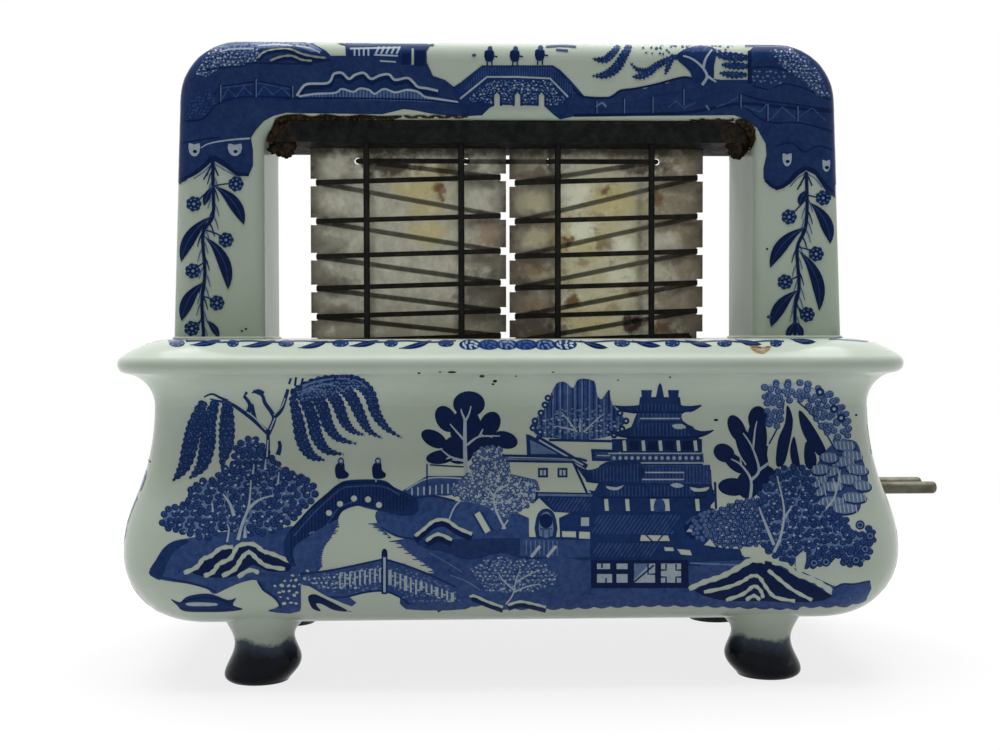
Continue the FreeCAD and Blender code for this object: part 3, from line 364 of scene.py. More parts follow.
class Drawing:
    """Shapes in the order of painting, and a seeded source of chance."""

    def __init__(self, seed, *pieces):
        self.shapes = []
        self.chance = random.Random(seed)
        for draw in pieces:
            draw(self)

    def area(self, ink, points, smooth=0):
        self.shapes.append((spline(points, True, smooth) if smooth else list(points), ink))

    def box(self, ink, left, top, right, bottom):
        self.area(ink, [(left, top), (right, top), (right, bottom), (left, bottom)])

    def disc(self, ink, x, y, radius, tall=None, sides=10, turn=0.0):
        tall = radius if tall is None else tall
        cos, sin = math.cos(turn), math.sin(turn)
        ring = []
        for k in range(sides):
            a = 2 * math.pi * (k + 0.5) / sides
            u, v = radius * math.cos(a), tall * math.sin(a)
            ring.append((x + u * cos - v * sin, y + u * sin + v * cos))
        self.shapes.append((ring, ink))

    def line(self, ink, width, points, taper=(1, 1), smooth=4, teeth=0.0):
        """A brush line; its width runs from the first taper share to the last, with saw teeth if asked."""
        path = spline(points, False, smooth) if smooth and len(points) > 2 else list(points)

        def half(k):
            share = taper[0] + (taper[1] - taper[0]) * k / (len(path) - 1)
            return width * share / 2 + (teeth if k % 2 else -teeth) * share
        self.shapes.append((widened(path, half), ink))

    def lines(self, ink, width, runs, **options):
        for points in runs:
            self.line(ink, width, points, **options)

    def frond(self, points, width):
        """Hanging willow frond: swells, then tapers to a point, with a feathered edge and small paler leaves."""
        path = spline(points, False, 7)

        def half(k):
            t = k / (len(path) - 1)
            swell = 0.45 + 0.65 * math.sin(math.pi * min(t * 1.05, 1)) ** 0.7
            return width / 2 * swell * (1 - t ** 8) + (0.8 if k % 2 else -0.7)
        outline = widened(path, half)
        self.shapes.append((outline, DARK))
        self.stipple(outline, 3.0, 0.85, MID)
        self.stipple(outline, 5.2, 0.7, LIGHT)

    def scatter(self, outline, spacing):
        """Loose rows of places inside an outline."""
        xs, ys = zip(*outline)
        places = []
        row = 0
        y = min(ys)
        while y < max(ys):
            x = min(xs) + (spacing / 2 if row % 2 else 0)
            while x < max(xs):
                places.append((x + self.chance.uniform(-0.28, 0.28) * spacing,
                               y + self.chance.uniform(-0.28, 0.28) * spacing))
                x += spacing
            y += spacing * 0.86
            row += 1
        x, y = (np.array(side) for side in zip(*places))
        keep = contains(list(outline), x, y)
        return [spot for spot, inside in zip(places, keep) if inside]

    def round_leaves(self, outline, spacing, under, leaf=DARK, heart=MID):
        """Leafy mass of small round leaves with light between them."""
        self.area(under, outline, 4)
        border = spline(outline, True, 4)
        places, gone = [], spacing
        for (x0, y0), (x1, y1) in zip(border, border[1:]):
            gone += math.hypot(x1 - x0, y1 - y0)
            if gone >= spacing:
                places.append((x1, y1))
                gone = 0
        for x, y in places + self.scatter(outline, spacing):
            size = spacing * self.chance.uniform(0.5, 0.6)
            self.disc(leaf, x, y, size, size * self.chance.uniform(0.85, 1.0), 9)
            self.disc(heart, x + size * 0.1, y - size * 0.12, size * 0.62, sides=7)
            self.disc(leaf, x + size * 0.15, y - size * 0.1, size * 0.3, sides=6)

    def stipple(self, outline, spacing, size, ink, under=None):
        """Dabs of one ink over an outline."""
        if under is not None:
            self.area(under, outline, 4)
        for x, y in self.scatter(outline, spacing):
            dab = size * self.chance.uniform(0.7, 1.25)
            self.disc(ink, x, y, dab, dab * self.chance.uniform(0.5, 0.9), 7, self.chance.uniform(-0.6, 0.6))

    def hatch(self, ink, outline, spacing, width, slant=0.0):
        """Upright or slanting lines across an outline, cut off at its edge."""
        xs, ys = zip(*outline)
        low, high = min(ys), max(ys)
        reach = abs(slant) * (high - low)
        x = min(xs) - reach
        while x < max(xs) + reach:
            top, bottom = (x + slant * (high - low), low), (x, high)
            cuts = []
            for (x0, y0), (x1, y1) in zip(outline, outline[1:] + outline[:1]):
                d0 = (x0 - bottom[0]) * (top[1] - bottom[1]) - (y0 - bottom[1]) * (top[0] - bottom[0])
                d1 = (x1 - bottom[0]) * (top[1] - bottom[1]) - (y1 - bottom[1]) * (top[0] - bottom[0])
                if (d0 > 0) != (d1 > 0):
                    t = d0 / (d0 - d1)
                    cuts.append((y0 + t * (y1 - y0), x0 + t * (x1 - x0)))
            cuts.sort()
            for (ya, xa), (yb, xb) in zip(cuts[::2], cuts[1::2]):
                if yb - ya > 1:
                    self.line(ink, width, [(xa, ya), (xb, yb)])
            x += spacing

    def bands(self, runs, width):
        """Rock drawn as clear streaks with deep shade under each."""
        for points in runs:
            self.line(DEEP, width * 2.4, [(x, y + width * 1.1) for x, y in points], taper=(0.8, 0.8))
        for points in runs:
            self.line(CLEAR, width * 1.25, points, taper=(0.75, 0.75), smooth=3, teeth=width * 0.1)


# The landscape on the base's front
def draw_willow(g):
    g.lines(DARK, 5.0, [[(267, 459), (268, 446), (268, 432)],
        [(268, 433), (255, 421), (246, 414), (233, 405), (222, 401)],
        [(268, 434), (274, 420), (272, 413), (265, 403), (262, 395), (253, 391)],
        [(273, 418), (281, 410), (286, 396), (288, 389)], [(247, 415), (250, 405), (244, 396)],
        [(255, 421), (253, 411), (252, 404)], [(278, 455), (280, 447), (279, 441)]], taper=(1, 0.6))
    g.lines(PALE, 1.4, [[(267, 457), (268, 440)], [(266, 430), (255, 418), (247, 412)], [(270, 430), (275, 418)],
        [(274, 415), (282, 406), (285, 398)]])
    g.lines(DARK, 3.0, [[(204, 397), (212, 394), (221, 398), (228, 401)], [(210, 399), (218, 401), (226, 402)],
        [(244, 396), (247, 392)], [(252, 393), (258, 390), (264, 393)]], taper=(0.5, 1))
    for points in ([(204, 401), (195, 424), (190.5, 444), (184, 467), (172.5, 481.5)],
            [(215.5, 401), (209, 424), (207.5, 444), (202, 465.5), (189, 479)],
            [(227, 401), (227, 424), (226, 446), (221, 468)]):
        g.frond(points, 14.5)
    for points in (
            [(291, 393), (312, 383.5), (336, 380), (356, 382), (369, 393), (376, 413.5), (387, 428.5), (402, 438)],
            [(291, 394), (310, 386), (327, 382.5), (341, 386), (352.5, 399), (362, 419), (369.5, 431), (382.5, 438.5)],
            [(291, 395), (305, 388), (318, 385.5), (328, 391), (337, 402), (344, 420.5), (353, 431), (365, 435)],
            [(291, 395), (302, 390), (312, 391.5), (322, 406), (328.5, 426), (339, 438.5), (357, 444)],
            [(292, 395), (302, 396), (312, 417), (317, 437), (327, 450.5), (344, 454.5)],
            [(292, 396), (297.5, 417), (302, 440), (311, 455), (325, 460.5)]):
        g.line(PALE, 15.0, points[-5:], taper=(0.3, 0.25))
        g.frond(points, 11.5)
    for points in ([(302, 386), (318, 381), (336, 378.5), (356, 380), (368, 388)],
            [(302, 391), (314, 386.5), (328, 384), (341, 388)], [(301, 394), (308, 391), (318, 389), (326, 393)]):
        g.line(LIGHT, 3.0, points, taper=(0.7, 0.3), teeth=0.4)
    g.stipple([(297, 392), (304, 386), (322, 381), (352, 380), (366, 386), (346, 392), (322, 396), (302, 402)], 3.4,
        1.2, LIGHT)
    g.lines(DARK, 2.2, [[(289, 384), (291, 378)], [(295, 386), (296, 377)], [(301, 385), (303, 378)],
        [(333, 381), (336, 377.5)], [(350, 380), (353, 377)]])


def draw_round_tree(g):
    crown = [(163, 526), (166, 511), (178, 506), (188, 502), (191, 490), (203, 481), (215, 480), (222, 470), (233, 464),
        (236, 448), (246, 440), (254, 438), (262, 446), (272, 458), (280, 466), (292, 474), (304, 478), (315, 489),
        (313, 499), (303, 508), (294, 518), (280, 527), (262, 534), (240, 532), (222, 528), (208, 538), (190, 534),
        (176, 530)]
    g.round_leaves(crown, 6.8, LIGHT)
    g.stipple(crown, 11.0, 1.3, PALE)
    g.lines(PALE, 3.6, [[(238, 540), (242, 525), (248, 509), (250, 496), (251, 480)],
        [(248, 509), (259, 500), (271, 496)], [(234, 516), (230, 504), (223, 494)], [(245, 538), (245, 526)]],
        taper=(1, 0.35))
    g.lines(PALE, 2.2, [[(227, 542), (229, 530), (227, 524)], [(265, 470), (266, 458)], [(253, 474), (254, 464)],
        [(278, 484), (279, 472)], [(213, 512), (212, 502)]], taper=(1, 0.4))


def draw_bridge(g):
    g.area(DARK, [(286, 536), (300, 519), (312, 506), (326, 494), (338, 484), (350, 480), (382, 480), (394, 487),
        (404, 492), (416, 498), (418, 512), (404, 516), (384, 512), (366, 508), (356, 506), (344, 512), (338, 524),
        (330, 538), (318, 552), (304, 562), (292, 566), (284, 552)], 4)
    g.lines(DEEP, 2.0, [[(290, 532), (310, 510), (338, 487), (352, 483), (382, 483), (396, 491)],
        [(292, 562), (304, 545), (322, 533), (335, 518), (344, 508)]])
    g.hatch(DEEP, [(288, 538), (302, 521), (326, 497), (346, 484), (384, 484), (412, 500), (402, 512), (384, 509),
        (364, 505), (350, 506), (338, 516), (328, 536), (312, 552), (292, 562)], 3.4, 1.4)
    g.lines(MID, 1.5, [[(294, 536), (314, 513), (340, 490), (354, 486.5), (382, 486.5), (400, 495)],
        [(300, 552), (318, 537), (330, 520), (340, 507), (356, 501)]])
    g.line(LIGHT, 1.2, [(309, 534), (313, 532), (317, 533)])
    for x, y in ((329, 513), (340, 504), (354, 498.5), (368, 499.5), (379, 505)):
        g.disc(CLEAR, x, y, 3.1)
    for x in (336, 373):
        g.area(DEEP, [(x, 477), (x - 1, 468), (x + 2, 463), (x + 8, 463), (x + 9, 470), (x + 13, 474), (x + 11, 478),
            (x + 4, 479)], 3)
        g.disc(MID, x + 5, 461, 3.2, 3.6)
        g.disc(PALE, x + 5, 461, 1.8)
        g.line(PALE, 1.6, [(x + 3, 479), (x + 3, 482)])
    # Feathered water at the foot of the bridge
    g.area(MID, [(294, 548), (312, 534), (336, 520), (338, 523), (329, 537), (322, 549), (319, 562), (310, 569),
        (297, 567)], 3)
    for k in range(21):
        y = 522 + 2.2 * k
        brink = 337 - 0.62 * (y - 522) + 0.0044 * (y - 522) ** 2
        g.line(MID, 1.7, [(brink - 4, y + 0.8), (brink + 3 + 4 * (k % 3), y)], taper=(1.4, 0.3))


def draw_left_island(g):
    g.area(MID, [(149, 573), (156, 562), (162, 550), (174, 541), (196, 537), (220, 532), (250, 531), (276, 529),
        (296, 526), (310, 534), (316, 552), (322, 566), (312, 575), (302, 580), (300, 611), (268, 611), (279, 606),
        (272, 597), (262, 590), (256, 580), (240, 583), (226, 589), (214, 594), (206, 588), (190, 584), (168, 581),
        (156, 578)], 3)
    g.area(DARK, [(149, 573), (156, 560), (164, 548), (176, 541), (190, 541), (176, 550), (168, 562), (164, 574),
        (160, 580)], 3)
    g.lines(DARK, 2.4, [[(160, 577), (190, 583), (208, 588), (216, 592)],
        [(258, 581), (264, 590), (276, 598), (281, 608)]])
    g.area(DEEP, [(192, 572), (204, 561), (222, 551), (240, 547), (254, 547), (270, 556), (290, 563), (288, 571),
        (268, 571), (254, 565), (244, 570), (232, 577), (208, 577)], 3)
    g.lines(CLEAR, 5.0, [[(184, 573), (197, 567), (203, 559), (211, 556), (221, 548), (233, 547)],
        [(204, 576), (213, 572), (219, 564), (231, 558), (238, 546), (253, 544), (263, 551), (273, 554), (291, 562)],
        [(222, 576), (235, 569), (241, 559), (249, 552), (257, 559), (267, 566), (285, 569)],
        [(238, 577), (250, 570), (259, 573)]], taper=(0.9, 0.8), smooth=3, teeth=0.45)
    g.stipple(
        [(272, 584), (292, 572), (318, 570), (340, 574), (340, 590), (318, 588), (301, 584), (300, 608), (284, 607)],
        6.2, 2.0, CLEAR)


def draw_boat(g):
    g.area(DARK, [(171, 599), (180, 602), (186, 597), (198, 594), (212, 594), (228, 600), (236, 598), (233, 605),
        (243, 609), (228, 611.5), (205, 612), (184, 611), (177, 605)], 3)
    g.area(PALE, [(186, 603), (197, 602), (216, 603), (216, 605.5), (198, 606), (188, 605.5)], 2)
    g.lines(DEEP, 1.6, [[(182, 602), (196, 598), (214, 598), (230, 603)], [(180, 608), (205, 610), (232, 609)]])


def draw_fence(g):
    rail = [(300, 574), (326, 571), (352, 566), (384, 559), (404, 565), (428, 574), (452, 585), (470, 597), (466, 609),
        (404, 609), (400, 598), (384, 592), (366, 593), (350, 597), (366, 610), (340, 610), (318, 594), (304, 586)]
    g.area(MID, rail, 3)
    g.lines(DARK, 2.0, [[(300, 574), (326, 571), (352, 566), (384, 559)],
        [(384, 559), (404, 565), (428, 574), (456, 587)],
        [(320, 597), (344, 597), (366, 592), (384, 591), (400, 597), (410, 604)]])
    g.stipple([(302, 577), (340, 572), (380, 566), (380, 588), (346, 594), (318, 588)], 4.4, 1.3, LIGHT)
    g.stipple([(390, 566), (420, 574), (452, 588), (462, 602), (412, 603), (392, 590)], 4.4, 1.3, LIGHT)
    g.stipple([(302, 577), (340, 574), (356, 574), (356, 588), (330, 590), (312, 584)], 5.0, 1.6, PALE)
    for k in range(9):
        x = 340 + 5 * k
        if abs(x - 384) > 3:
            y = 578 - 0.12 * (x - 340)
            g.line(PALE, 1.7, [(x, y - 5), (x, y + 9)])
            g.line(PALE, 1.3, [(x, y - 5 + 6 * (k % 2)), (x + 3.4, y - 5 + 6 * (k % 2))])
    for k in range(13):
        x = 390 + 5.2 * k
        y = 575 + 0.36 * (x - 390)
        tall = 15 if x < 420 else 9
        g.line(PALE, 1.8 if k % 3 else 3.2, [(x, y - 5), (x, y - 5 + tall)])
        g.line(PALE, 1.3, [(x, y + 5 * (k % 2)), (x + 3.6, y + 5 * (k % 2) + 1.2)])
    g.area(CLEAR, [(352, 612), (356, 603), (366, 597), (384, 595), (394, 598), (402, 606), (404, 612)], 3)
    g.line(DARK, 6.0, [(384.5, 554), (384.5, 594)])
    g.line(PALE, 2.4, [(384.5, 557), (384.5, 592)])
    g.disc(DEEP, 384.5, 553, 3.0, 4.4)
    # Clear bank with dark boulders below the fence
    g.area(CLEAR, [(301, 585), (309, 586), (326, 596), (345, 604), (366, 611), (301, 611)])
    g.area(DEEP, [(308, 597), (314, 594), (322, 597), (336, 604), (348, 611), (334, 610), (322, 604), (316, 604),
        (321, 611), (312, 608)], 3)


def draw_water(g):
    g.area(CLEAR, [(339, 530), (338, 520), (343, 511), (356, 506.5), (366, 511), (369, 525), (377, 536), (394, 538),
        (407, 551), (434, 571), (424, 572), (405, 564), (386, 556), (379, 558), (355, 563), (328, 569), (322, 563),
        (325, 546)], 3)
    for k in range(16):
        g.line(MID, 2.1, [(400 + 2.6 * k, 541 + 2.0 * k), (389 + 2.6 * k + 4 * (k % 3), 541.5 + 2.0 * k)],
            taper=(1.2, 0.3))
    for k in range(9):
        g.line(MID, 1.8, [(378 + 1.6 * k, 524 + 1.7 * k), (368 + 2.4 * k + 3 * (k % 2), 524 + 1.7 * k)],
            taper=(1.2, 0.3))


def draw_ground(g):
    """The lower bank, from the fence to the right-hand corner, with a lapping edge."""
    edge = []
    for k in range(1, 233):
        y = 604.5 - max(0, 10 - k) * 0.55 + 1.9 * abs(math.sin(k * 0.39)) + 1.6 * math.sin(k * 0.047)
        edge.append((868 - 2 * k, y + (2 if 34 < k < 184 else 0)))
    g.area(MID, [(400, 604), (404, 570), (398, 540), (420, 536), (470, 538), (520, 534), (600, 530), (700, 540),
        (744, 556), (790, 566), (834, 586), (852, 584), (870, 581), (867, 598)] + edge)
    g.area(BAND, [(416, 538), (470, 539), (530, 536), (592, 536), (592, 560), (560, 557), (528, 560), (500, 553),
        (470, 560), (444, 552), (424, 548)], 3)
    g.lines(LIGHT, 1.0, [[(430, 553), (446, 562), (462, 572)], [(450, 575), (468, 582), (480, 590)]])
    crown = [(470, 568), (484, 560), (500, 557), (524, 558), (544, 562), (558, 576), (550, 588), (520, 594), (486, 592)]
    g.stipple(crown, 4.4, 1.6, LIGHT)
    g.stipple(crown, 5.4, 1.2, PALE)
    g.lines(PALE, 1.8, [[(506, 604), (513, 594), (516, 580), (520, 570)], [(514, 590), (503, 580), (498, 572)],
        [(516, 582), (530, 574), (540, 570)], [(514, 592), (528, 586), (540, 584)]], taper=(1, 0.4))
    g.bands(
        [[(437, 607), (449, 601), (464, 600.5), (473, 595.5), (486, 601), (503, 607)],
        [(508, 605), (520, 601.5), (534, 604), (546, 607)]], 2.8)
    g.line(DEEP, 2.0, [(414, 607), (428, 604), (440, 600), (452, 597)])


def draw_hill(g):
    g.area(MID, [(376, 512), (396, 505), (413, 499), (432, 496), (455, 501), (474, 503), (488, 513), (508, 528),
        (520, 530), (512, 537), (488, 537), (440, 540), (412, 538), (396, 536), (380, 527)], 3)
    g.area(MID, [(470, 502), (500, 504), (518, 512), (530, 516), (530, 538), (486, 538)])
    g.lines(DARK, 2.0, [[(380, 511), (413, 499), (432, 496), (455, 501)], [(380, 527), (397, 536), (415, 539)]])
    g.bands(
        [[(415, 536), (424, 529), (434, 521), (446, 520), (458, 528), (472, 534)],
        [(426, 541), (438, 534), (452, 540)]], 3.6)
    g.line(CLEAR, 6.0, [(477, 513), (488, 532)])
    g.lines(DARK, 1.6, [[(473, 514), (484, 533)], [(482, 512), (493, 531)]])
    g.area(MID, [(402, 491), (427, 476), (470, 476), (472, 492), (446, 496), (430, 495), (408, 499)])
    for k in range(10):
        g.line(PALE, 1.5, [(412 + 6 * k, 488 - 0.7 * k), (412 + 6 * k, 496 - 0.4 * k)])
    g.line(PALE, 1.4, [(406, 490), (430, 478), (468, 479)])
    g.area(CLEAR, [(431, 466), (464, 468), (464, 475), (432, 475)])
    g.lines(DARK, 1.5, [[(430, 465), (464, 467)], [(427, 464), (427, 496)]])


def draw_oak(g):
    for x, y, wide, tall, turn in ((469, 404, 16, 13, 0.0), (446, 419, 10, 14, -0.5), (490, 424, 10, 13, 0.5),
            (434, 439, 14, 8, 0.5), (505, 440, 13, 8.5, 0.3), (441, 457, 15, 7, -0.15), (484, 446, 14, 10, 0.0),
            (466, 430, 16, 22, 0.0), (458, 450, 16, 14, 0.3)):
        g.disc(DEEP, x, y, wide, tall, 22, turn)
    g.line(PALE, 4.4, [(466, 474), (465, 448), (465, 424), (465, 418)], taper=(1, 0.6))
    g.lines(PALE, 2.4, [[(465, 422), (469, 414), (471, 406)], [(465, 420), (462, 413), (461, 409)],
        [(464, 440), (456, 431), (450, 424)], [(464, 461), (451, 457), (444, 452), (440, 448)],
        [(467, 445), (478, 437), (490, 436), (500, 436)], [(479, 437), (483, 429)], [(463, 460), (452, 460)],
        [(451, 457), (446, 459)]], taper=(1, 0.4))


def draw_light_bush(g):
    crown = [(478, 450), (497, 448), (508, 460), (510, 474), (524, 477), (536, 481), (538, 491), (530, 504), (516, 511),
        (504, 517), (486, 506), (462, 499), (453, 489), (468, 475), (474, 460)]
    g.round_leaves(crown, 5.0, PALE, MID, LIGHT)
    g.stipple(crown, 5.0, 1.35, PALE)
    g.lines(PALE, 2.6, [[(505, 529), (496, 510), (494, 496), (501, 486)], [(495, 498), (488, 488)],
        [(498, 490), (509, 484)]], taper=(1, 0.5))
    g.lines(PALE, 1.6, [[(449, 520), (454, 508), (461, 500)], [(502, 529), (508, 520)]])


def draw_houses(g):
    g.area(CLEAR, [(552, 443), (624, 444), (623, 451), (617, 465), (600, 470), (586, 468), (568, 455)])
    g.lines(DARK, 2.6, [[(549, 440), (624, 441.5)], [(624, 440), (623, 455)]])
    g.area(DARK, [(591, 449), (619, 450), (619, 461.5), (592, 461)])
    g.area(MID, [(595, 452), (616, 452.5), (616, 459), (595, 458.5)])
    g.line(PALE, 1.2, [(597, 455.5), (614, 455.8)])
    g.area(DARK, [(526, 434), (530, 435), (568, 456), (527, 457)])
    g.area(LIGHT, [(530, 440), (535, 442), (558, 454), (531, 454)])
    g.line(DARK, 5.0, [(536, 437), (562, 452), (587, 467)])
    g.line(PALE, 1.6, [(539, 440), (563, 454), (583, 465)])
    g.area(CLEAR, [(509, 461), (573, 462), (586, 493), (541, 493), (537, 480), (511, 474)])
    g.lines(DARK, 2.4, [[(502, 455.5), (568, 457.5), (587, 461)], [(506, 461), (574, 462)], [(573, 462), (587, 493)]])
    g.line(LIGHT, 2.0, [(506, 458.5), (572, 460)])
    for x in (543, 562.5):
        g.box(DARK, x - 5, 468, x + 5, 477.5)
        g.box(PALE, x - 3, 470, x + 3, 475.5)
        g.line(DARK, 1.2, [(x, 470), (x, 475.5)])
    # Gatehouse with a round door
    g.area(DARK, [(536, 492), (640, 494), (640, 540), (555, 537), (528, 537)])
    g.area(LIGHT, [(538, 493.5), (626, 495), (626, 497), (538, 496)])
    g.hatch(MID, [(546, 498), (626, 498), (630, 510), (556, 512)], 4.0, 1.3, 0.7)
    g.line(PALE, 4.0, [(624, 497), (629, 509)])
    g.area(CLEAR, [(539, 498), (546, 505), (554, 512), (570, 513), (559, 518), (560, 537), (529, 537), (529, 518),
        (517, 513), (528, 509)])
    g.area(DARK, [(536, 537), (536, 519), (540, 511), (546, 508.5), (552, 511), (556, 519), (556, 537)], 2)
    g.area(LIGHT, [(539.5, 536), (539.5, 520), (543, 513), (546, 512), (549, 513), (552.5, 520), (552.5, 536)], 2)
    g.disc(DEEP, 546, 521, 6.6, 7.4, 14)
    g.lines(DARK, 1.2, [[(540, 529), (552, 529)], [(543, 530), (543, 537)], [(549, 530), (549, 537)]])
    g.box(PALE, 581, 517.5, 589, 526)
    g.area(CLEAR, [(562, 531), (576, 531.5), (576, 537.5), (562, 537)])
    g.area(CLEAR, [(579, 531.5), (592, 532), (592, 539), (579, 538.5)])
    for k in range(5):
        g.box(PALE, 595 + 5.5 * k, 534, 598.6 + 5.5 * k, 539)
    g.area(MID, [(520, 538), (600, 541), (600, 556), (560, 558), (520, 556)])
    g.hatch(LIGHT, [(522, 540), (560, 541), (560, 556), (522, 554)], 4.4, 1.0)
    g.lines(PALE, 3.0, [[(540, 546), (531, 557)], [(556, 546), (547, 557)]])


def draw_stippled_tree(g):
    crown = [(531, 425), (542, 412), (548, 402), (556, 384), (565, 382), (573, 388), (579, 379), (594, 381), (597, 395),
        (602, 399), (609, 390), (612, 404), (625, 420), (618, 430), (607, 437), (579, 440), (552, 438), (538, 436)]
    edge = spline(crown, True, 3)
    g.area(MID, edge)
    g.hatch(DARK, edge, 5.2, 1.8)
    g.hatch(LIGHT, edge, 7.3, 1.3)
    g.stipple([(534, 424), (560, 408), (600, 406), (622, 422), (606, 437), (545, 437)], 5.0, 1.6, LIGHT)
    g.stipple([(534, 424), (560, 414), (620, 422), (606, 436), (545, 436)], 7.2, 1.2, PALE)
    g.lines(PALE, 1.8, [[(577, 432), (568, 420), (561, 412)], [(580, 432), (580, 418)],
        [(584, 432), (596, 420), (604, 414)], [(574, 430), (556, 426)]], taper=(1, 0.4))
    for x, y in ((541, 413), (535, 421), (545, 405), (533, 428), (540, 432), (548, 398), (620, 413), (626, 421),
            (622, 429), (614, 435)):
        g.disc(DARK, x, y, 3.6)
        g.disc(PALE, x, y, 1.3, sides=6)


def draw_roof(g, left, right, top, eave, inset):
    """Temple roof: a straight ridge and eaves that sweep up at both tips."""
    g.area(DARK, spline(
        [(left, eave - 6), (left + inset * 0.45, eave - 5), (left + inset, top + 3), (left + inset + 4, top)], False, 4)
        + spline(
        [(right - inset - 4, top), (right - inset, top + 3), (right - inset * 0.45, eave - 5), (right, eave - 6),
        (right - inset * 0.35, eave + 0.5), (right - inset * 0.8, eave + 2.5)], False, 4)
        + spline([(left + inset * 0.8, eave + 2.5), (left + inset * 0.35, eave + 0.5), (left, eave - 6)], False, 4))
    g.hatch(MID, [(left + inset, top + 2), (right - inset, top + 2), (right - inset * 0.8, eave),
        (left + inset * 0.8, eave)], 3.6, 1.0)
    g.line(DEEP, 1.6, [(left + inset * 0.4, eave), (left + inset, eave + 1.8), (right - inset, eave + 1.8),
        (right - inset * 0.4, eave)])


def draw_pagoda(g):
    g.area(DARK, [(614, 470), (640, 405), (682, 405), (700, 440), (703, 466), (711, 470), (712, 486), (716, 500),
        (702, 514), (716, 540), (700, 566), (590, 562), (590, 500), (600, 480)])
    g.area(DARK, [(656, 397), (658, 386), (660, 382.5), (662, 386), (664, 397)])
    for x in (641, 668):
        g.area(DARK, [(x, 390), (x + 11, 390), (x + 10, 399), (x + 1, 399)])
    g.area(DARK, [(640, 397), (680, 397), (681, 405), (639, 405)])
    draw_roof(g, 613, 702, 402, 411, 26)
    storey = [(638, 413), (681, 413), (681, 424), (637, 424)]
    g.area(MID, storey)
    g.hatch(DARK, storey, 4.2, 1.2)
    g.lines(PALE, 1.2, [[(640, 418.5), (680, 418.5)]])
    draw_roof(g, 607, 714, 421, 436, 30)
    g.area(PALE, [(672, 425), (682, 424), (686, 428), (676, 429)], 2)
    g.area(CLEAR, [(683, 421), (682, 414), (690, 412), (697, 420), (703, 424), (694, 427)], 2)
    g.box(DARK, 612, 439, 702, 452)
    for x in (624, 643, 660, 678, 695):
        g.line(CLEAR, 3.4, [(x, 440.5), (x + 1, 451)])
    for x in (630, 648, 665, 683):
        g.box(DEEP, x, 441, x + 9, 450)
    g.area(MID, [(610, 453), (703, 453), (704, 463), (610, 463)])
    for k in range(15):
        g.disc(PALE, 614 + 6 * k, 458, 1.7, 1.9, 7)
        g.line(DARK, 1.0, [(617 + 6 * k, 454), (617 + 6 * k, 462)])
    g.lines(PALE, 1.3, [[(608, 453.4), (702, 453.4)], [(628, 463), (703, 463)]])
    g.area(MID, [(600, 465), (710, 465), (711, 484), (600, 482)])
    g.hatch(DARK, [(600, 466), (710, 466), (711, 483), (600, 482)], 3.4, 1.2)
    g.lines(PALE, 1.3, [[(637, 472.5), (684, 472.5), (684, 479.5), (637, 479.5), (637, 472.5)]], smooth=0)
    g.area(DARK, [(572, 460), (578, 466), (588, 470), (598, 468), (606, 462), (640, 461), (640, 484), (592, 483),
        (585, 479)], 2)
    g.hatch(MID, [(590, 470), (600, 467), (640, 464), (640, 482), (592, 481)], 3.4, 1.2)
    draw_roof(g, 588, 716, 484, 496, 24)
    g.area(CLEAR, [(690, 487), (699, 488.5), (709, 487), (706, 491), (694, 491.5)], 2)
    g.area(PALE, [(670, 485), (677, 483), (684, 486), (677, 488)], 2)
    g.area(PALE, [(606, 486), (616, 487.5), (624, 485), (618, 490), (609, 489.5)], 2)
    g.area(DARK, [(596, 498), (712, 498), (710, 512), (596, 512)])
    for x0, x1 in ((604, 608), (625, 629), (650, 656), (662, 669), (695, 699)):
        g.area(CLEAR, [(x0, 499), (x1, 499), (x1 + 1, 511), (x0 + 1, 511)])
    g.area(MID, [(655, 501), (659, 499), (664, 501), (665, 511), (654, 511)], 2)
    g.lines(DARK, 2.4, [[(715, 482), (716, 509)]])
    # Lower roofs and the scroll at their end
    g.area(DARK, [(592, 512), (702, 512), (712, 508), (722, 514), (718, 540), (690, 544), (592, 541)])
    g.hatch(MID, [(596, 515), (680, 515), (672, 534), (592, 534)], 4.2, 1.4, 0.7)
    g.disc(DEEP, 699, 528, 15, 12, 22)
    g.line(MID, 2.0, [(686, 524), (694, 517), (706, 519), (711, 528), (704, 536), (694, 534)])
    g.area(PALE, [(686, 532), (690, 527.5), (694, 532)])
    g.area(CLEAR, [(641, 535), (668, 535.5), (670, 541), (640, 541)])
    g.lines(DARK, 1.4, [[(646, 535), (652, 541)], [(658, 541), (663, 535)]])
    g.area(DARK, [(592, 542), (700, 542), (720, 548), (740, 549), (744, 560), (700, 562), (592, 560)])
    g.hatch(MID, [(596, 543), (660, 543), (652, 557), (592, 557)], 4.2, 1.4, 0.7)
    g.area(CLEAR, [(664, 547), (673, 547.5), (674, 551), (665, 551)])
    g.area(CLEAR, [(677, 549), (690, 550), (692, 555.5), (681, 554.5)])
    g.line(LIGHT, 1.6, [(690, 563), (738, 565)])


def draw_panels(g):
    g.area(DEEP, [(591, 560), (688, 560), (689, 588), (591, 588)])
    for x, y, wide, tall in ((597, 563.5, 13, 5.5), (597, 574, 15, 8.5), (616.5, 563.5, 11, 5.5), (616.5, 574, 11, 8.5),
            (634, 563.5, 21, 19), (661, 563.5, 20, 19)):
        g.box(PALE, x, y, x + wide, y + tall)
    g.area(LIGHT, [(634, 563.5), (650, 563.5), (634, 580)])
    g.lines(DARK, 1.8, [[(634, 582), (654, 565)], [(648, 564), (648, 574), (655, 574)],
        [(661, 570), (666, 570), (666, 564)], [(681, 570), (676, 570), (676, 564)],
        [(661, 577), (666, 577), (666, 583)], [(681, 577), (676, 577), (676, 583)], [(602, 563), (602, 568)],
        [(606, 578), (606, 583)]], smooth=0)


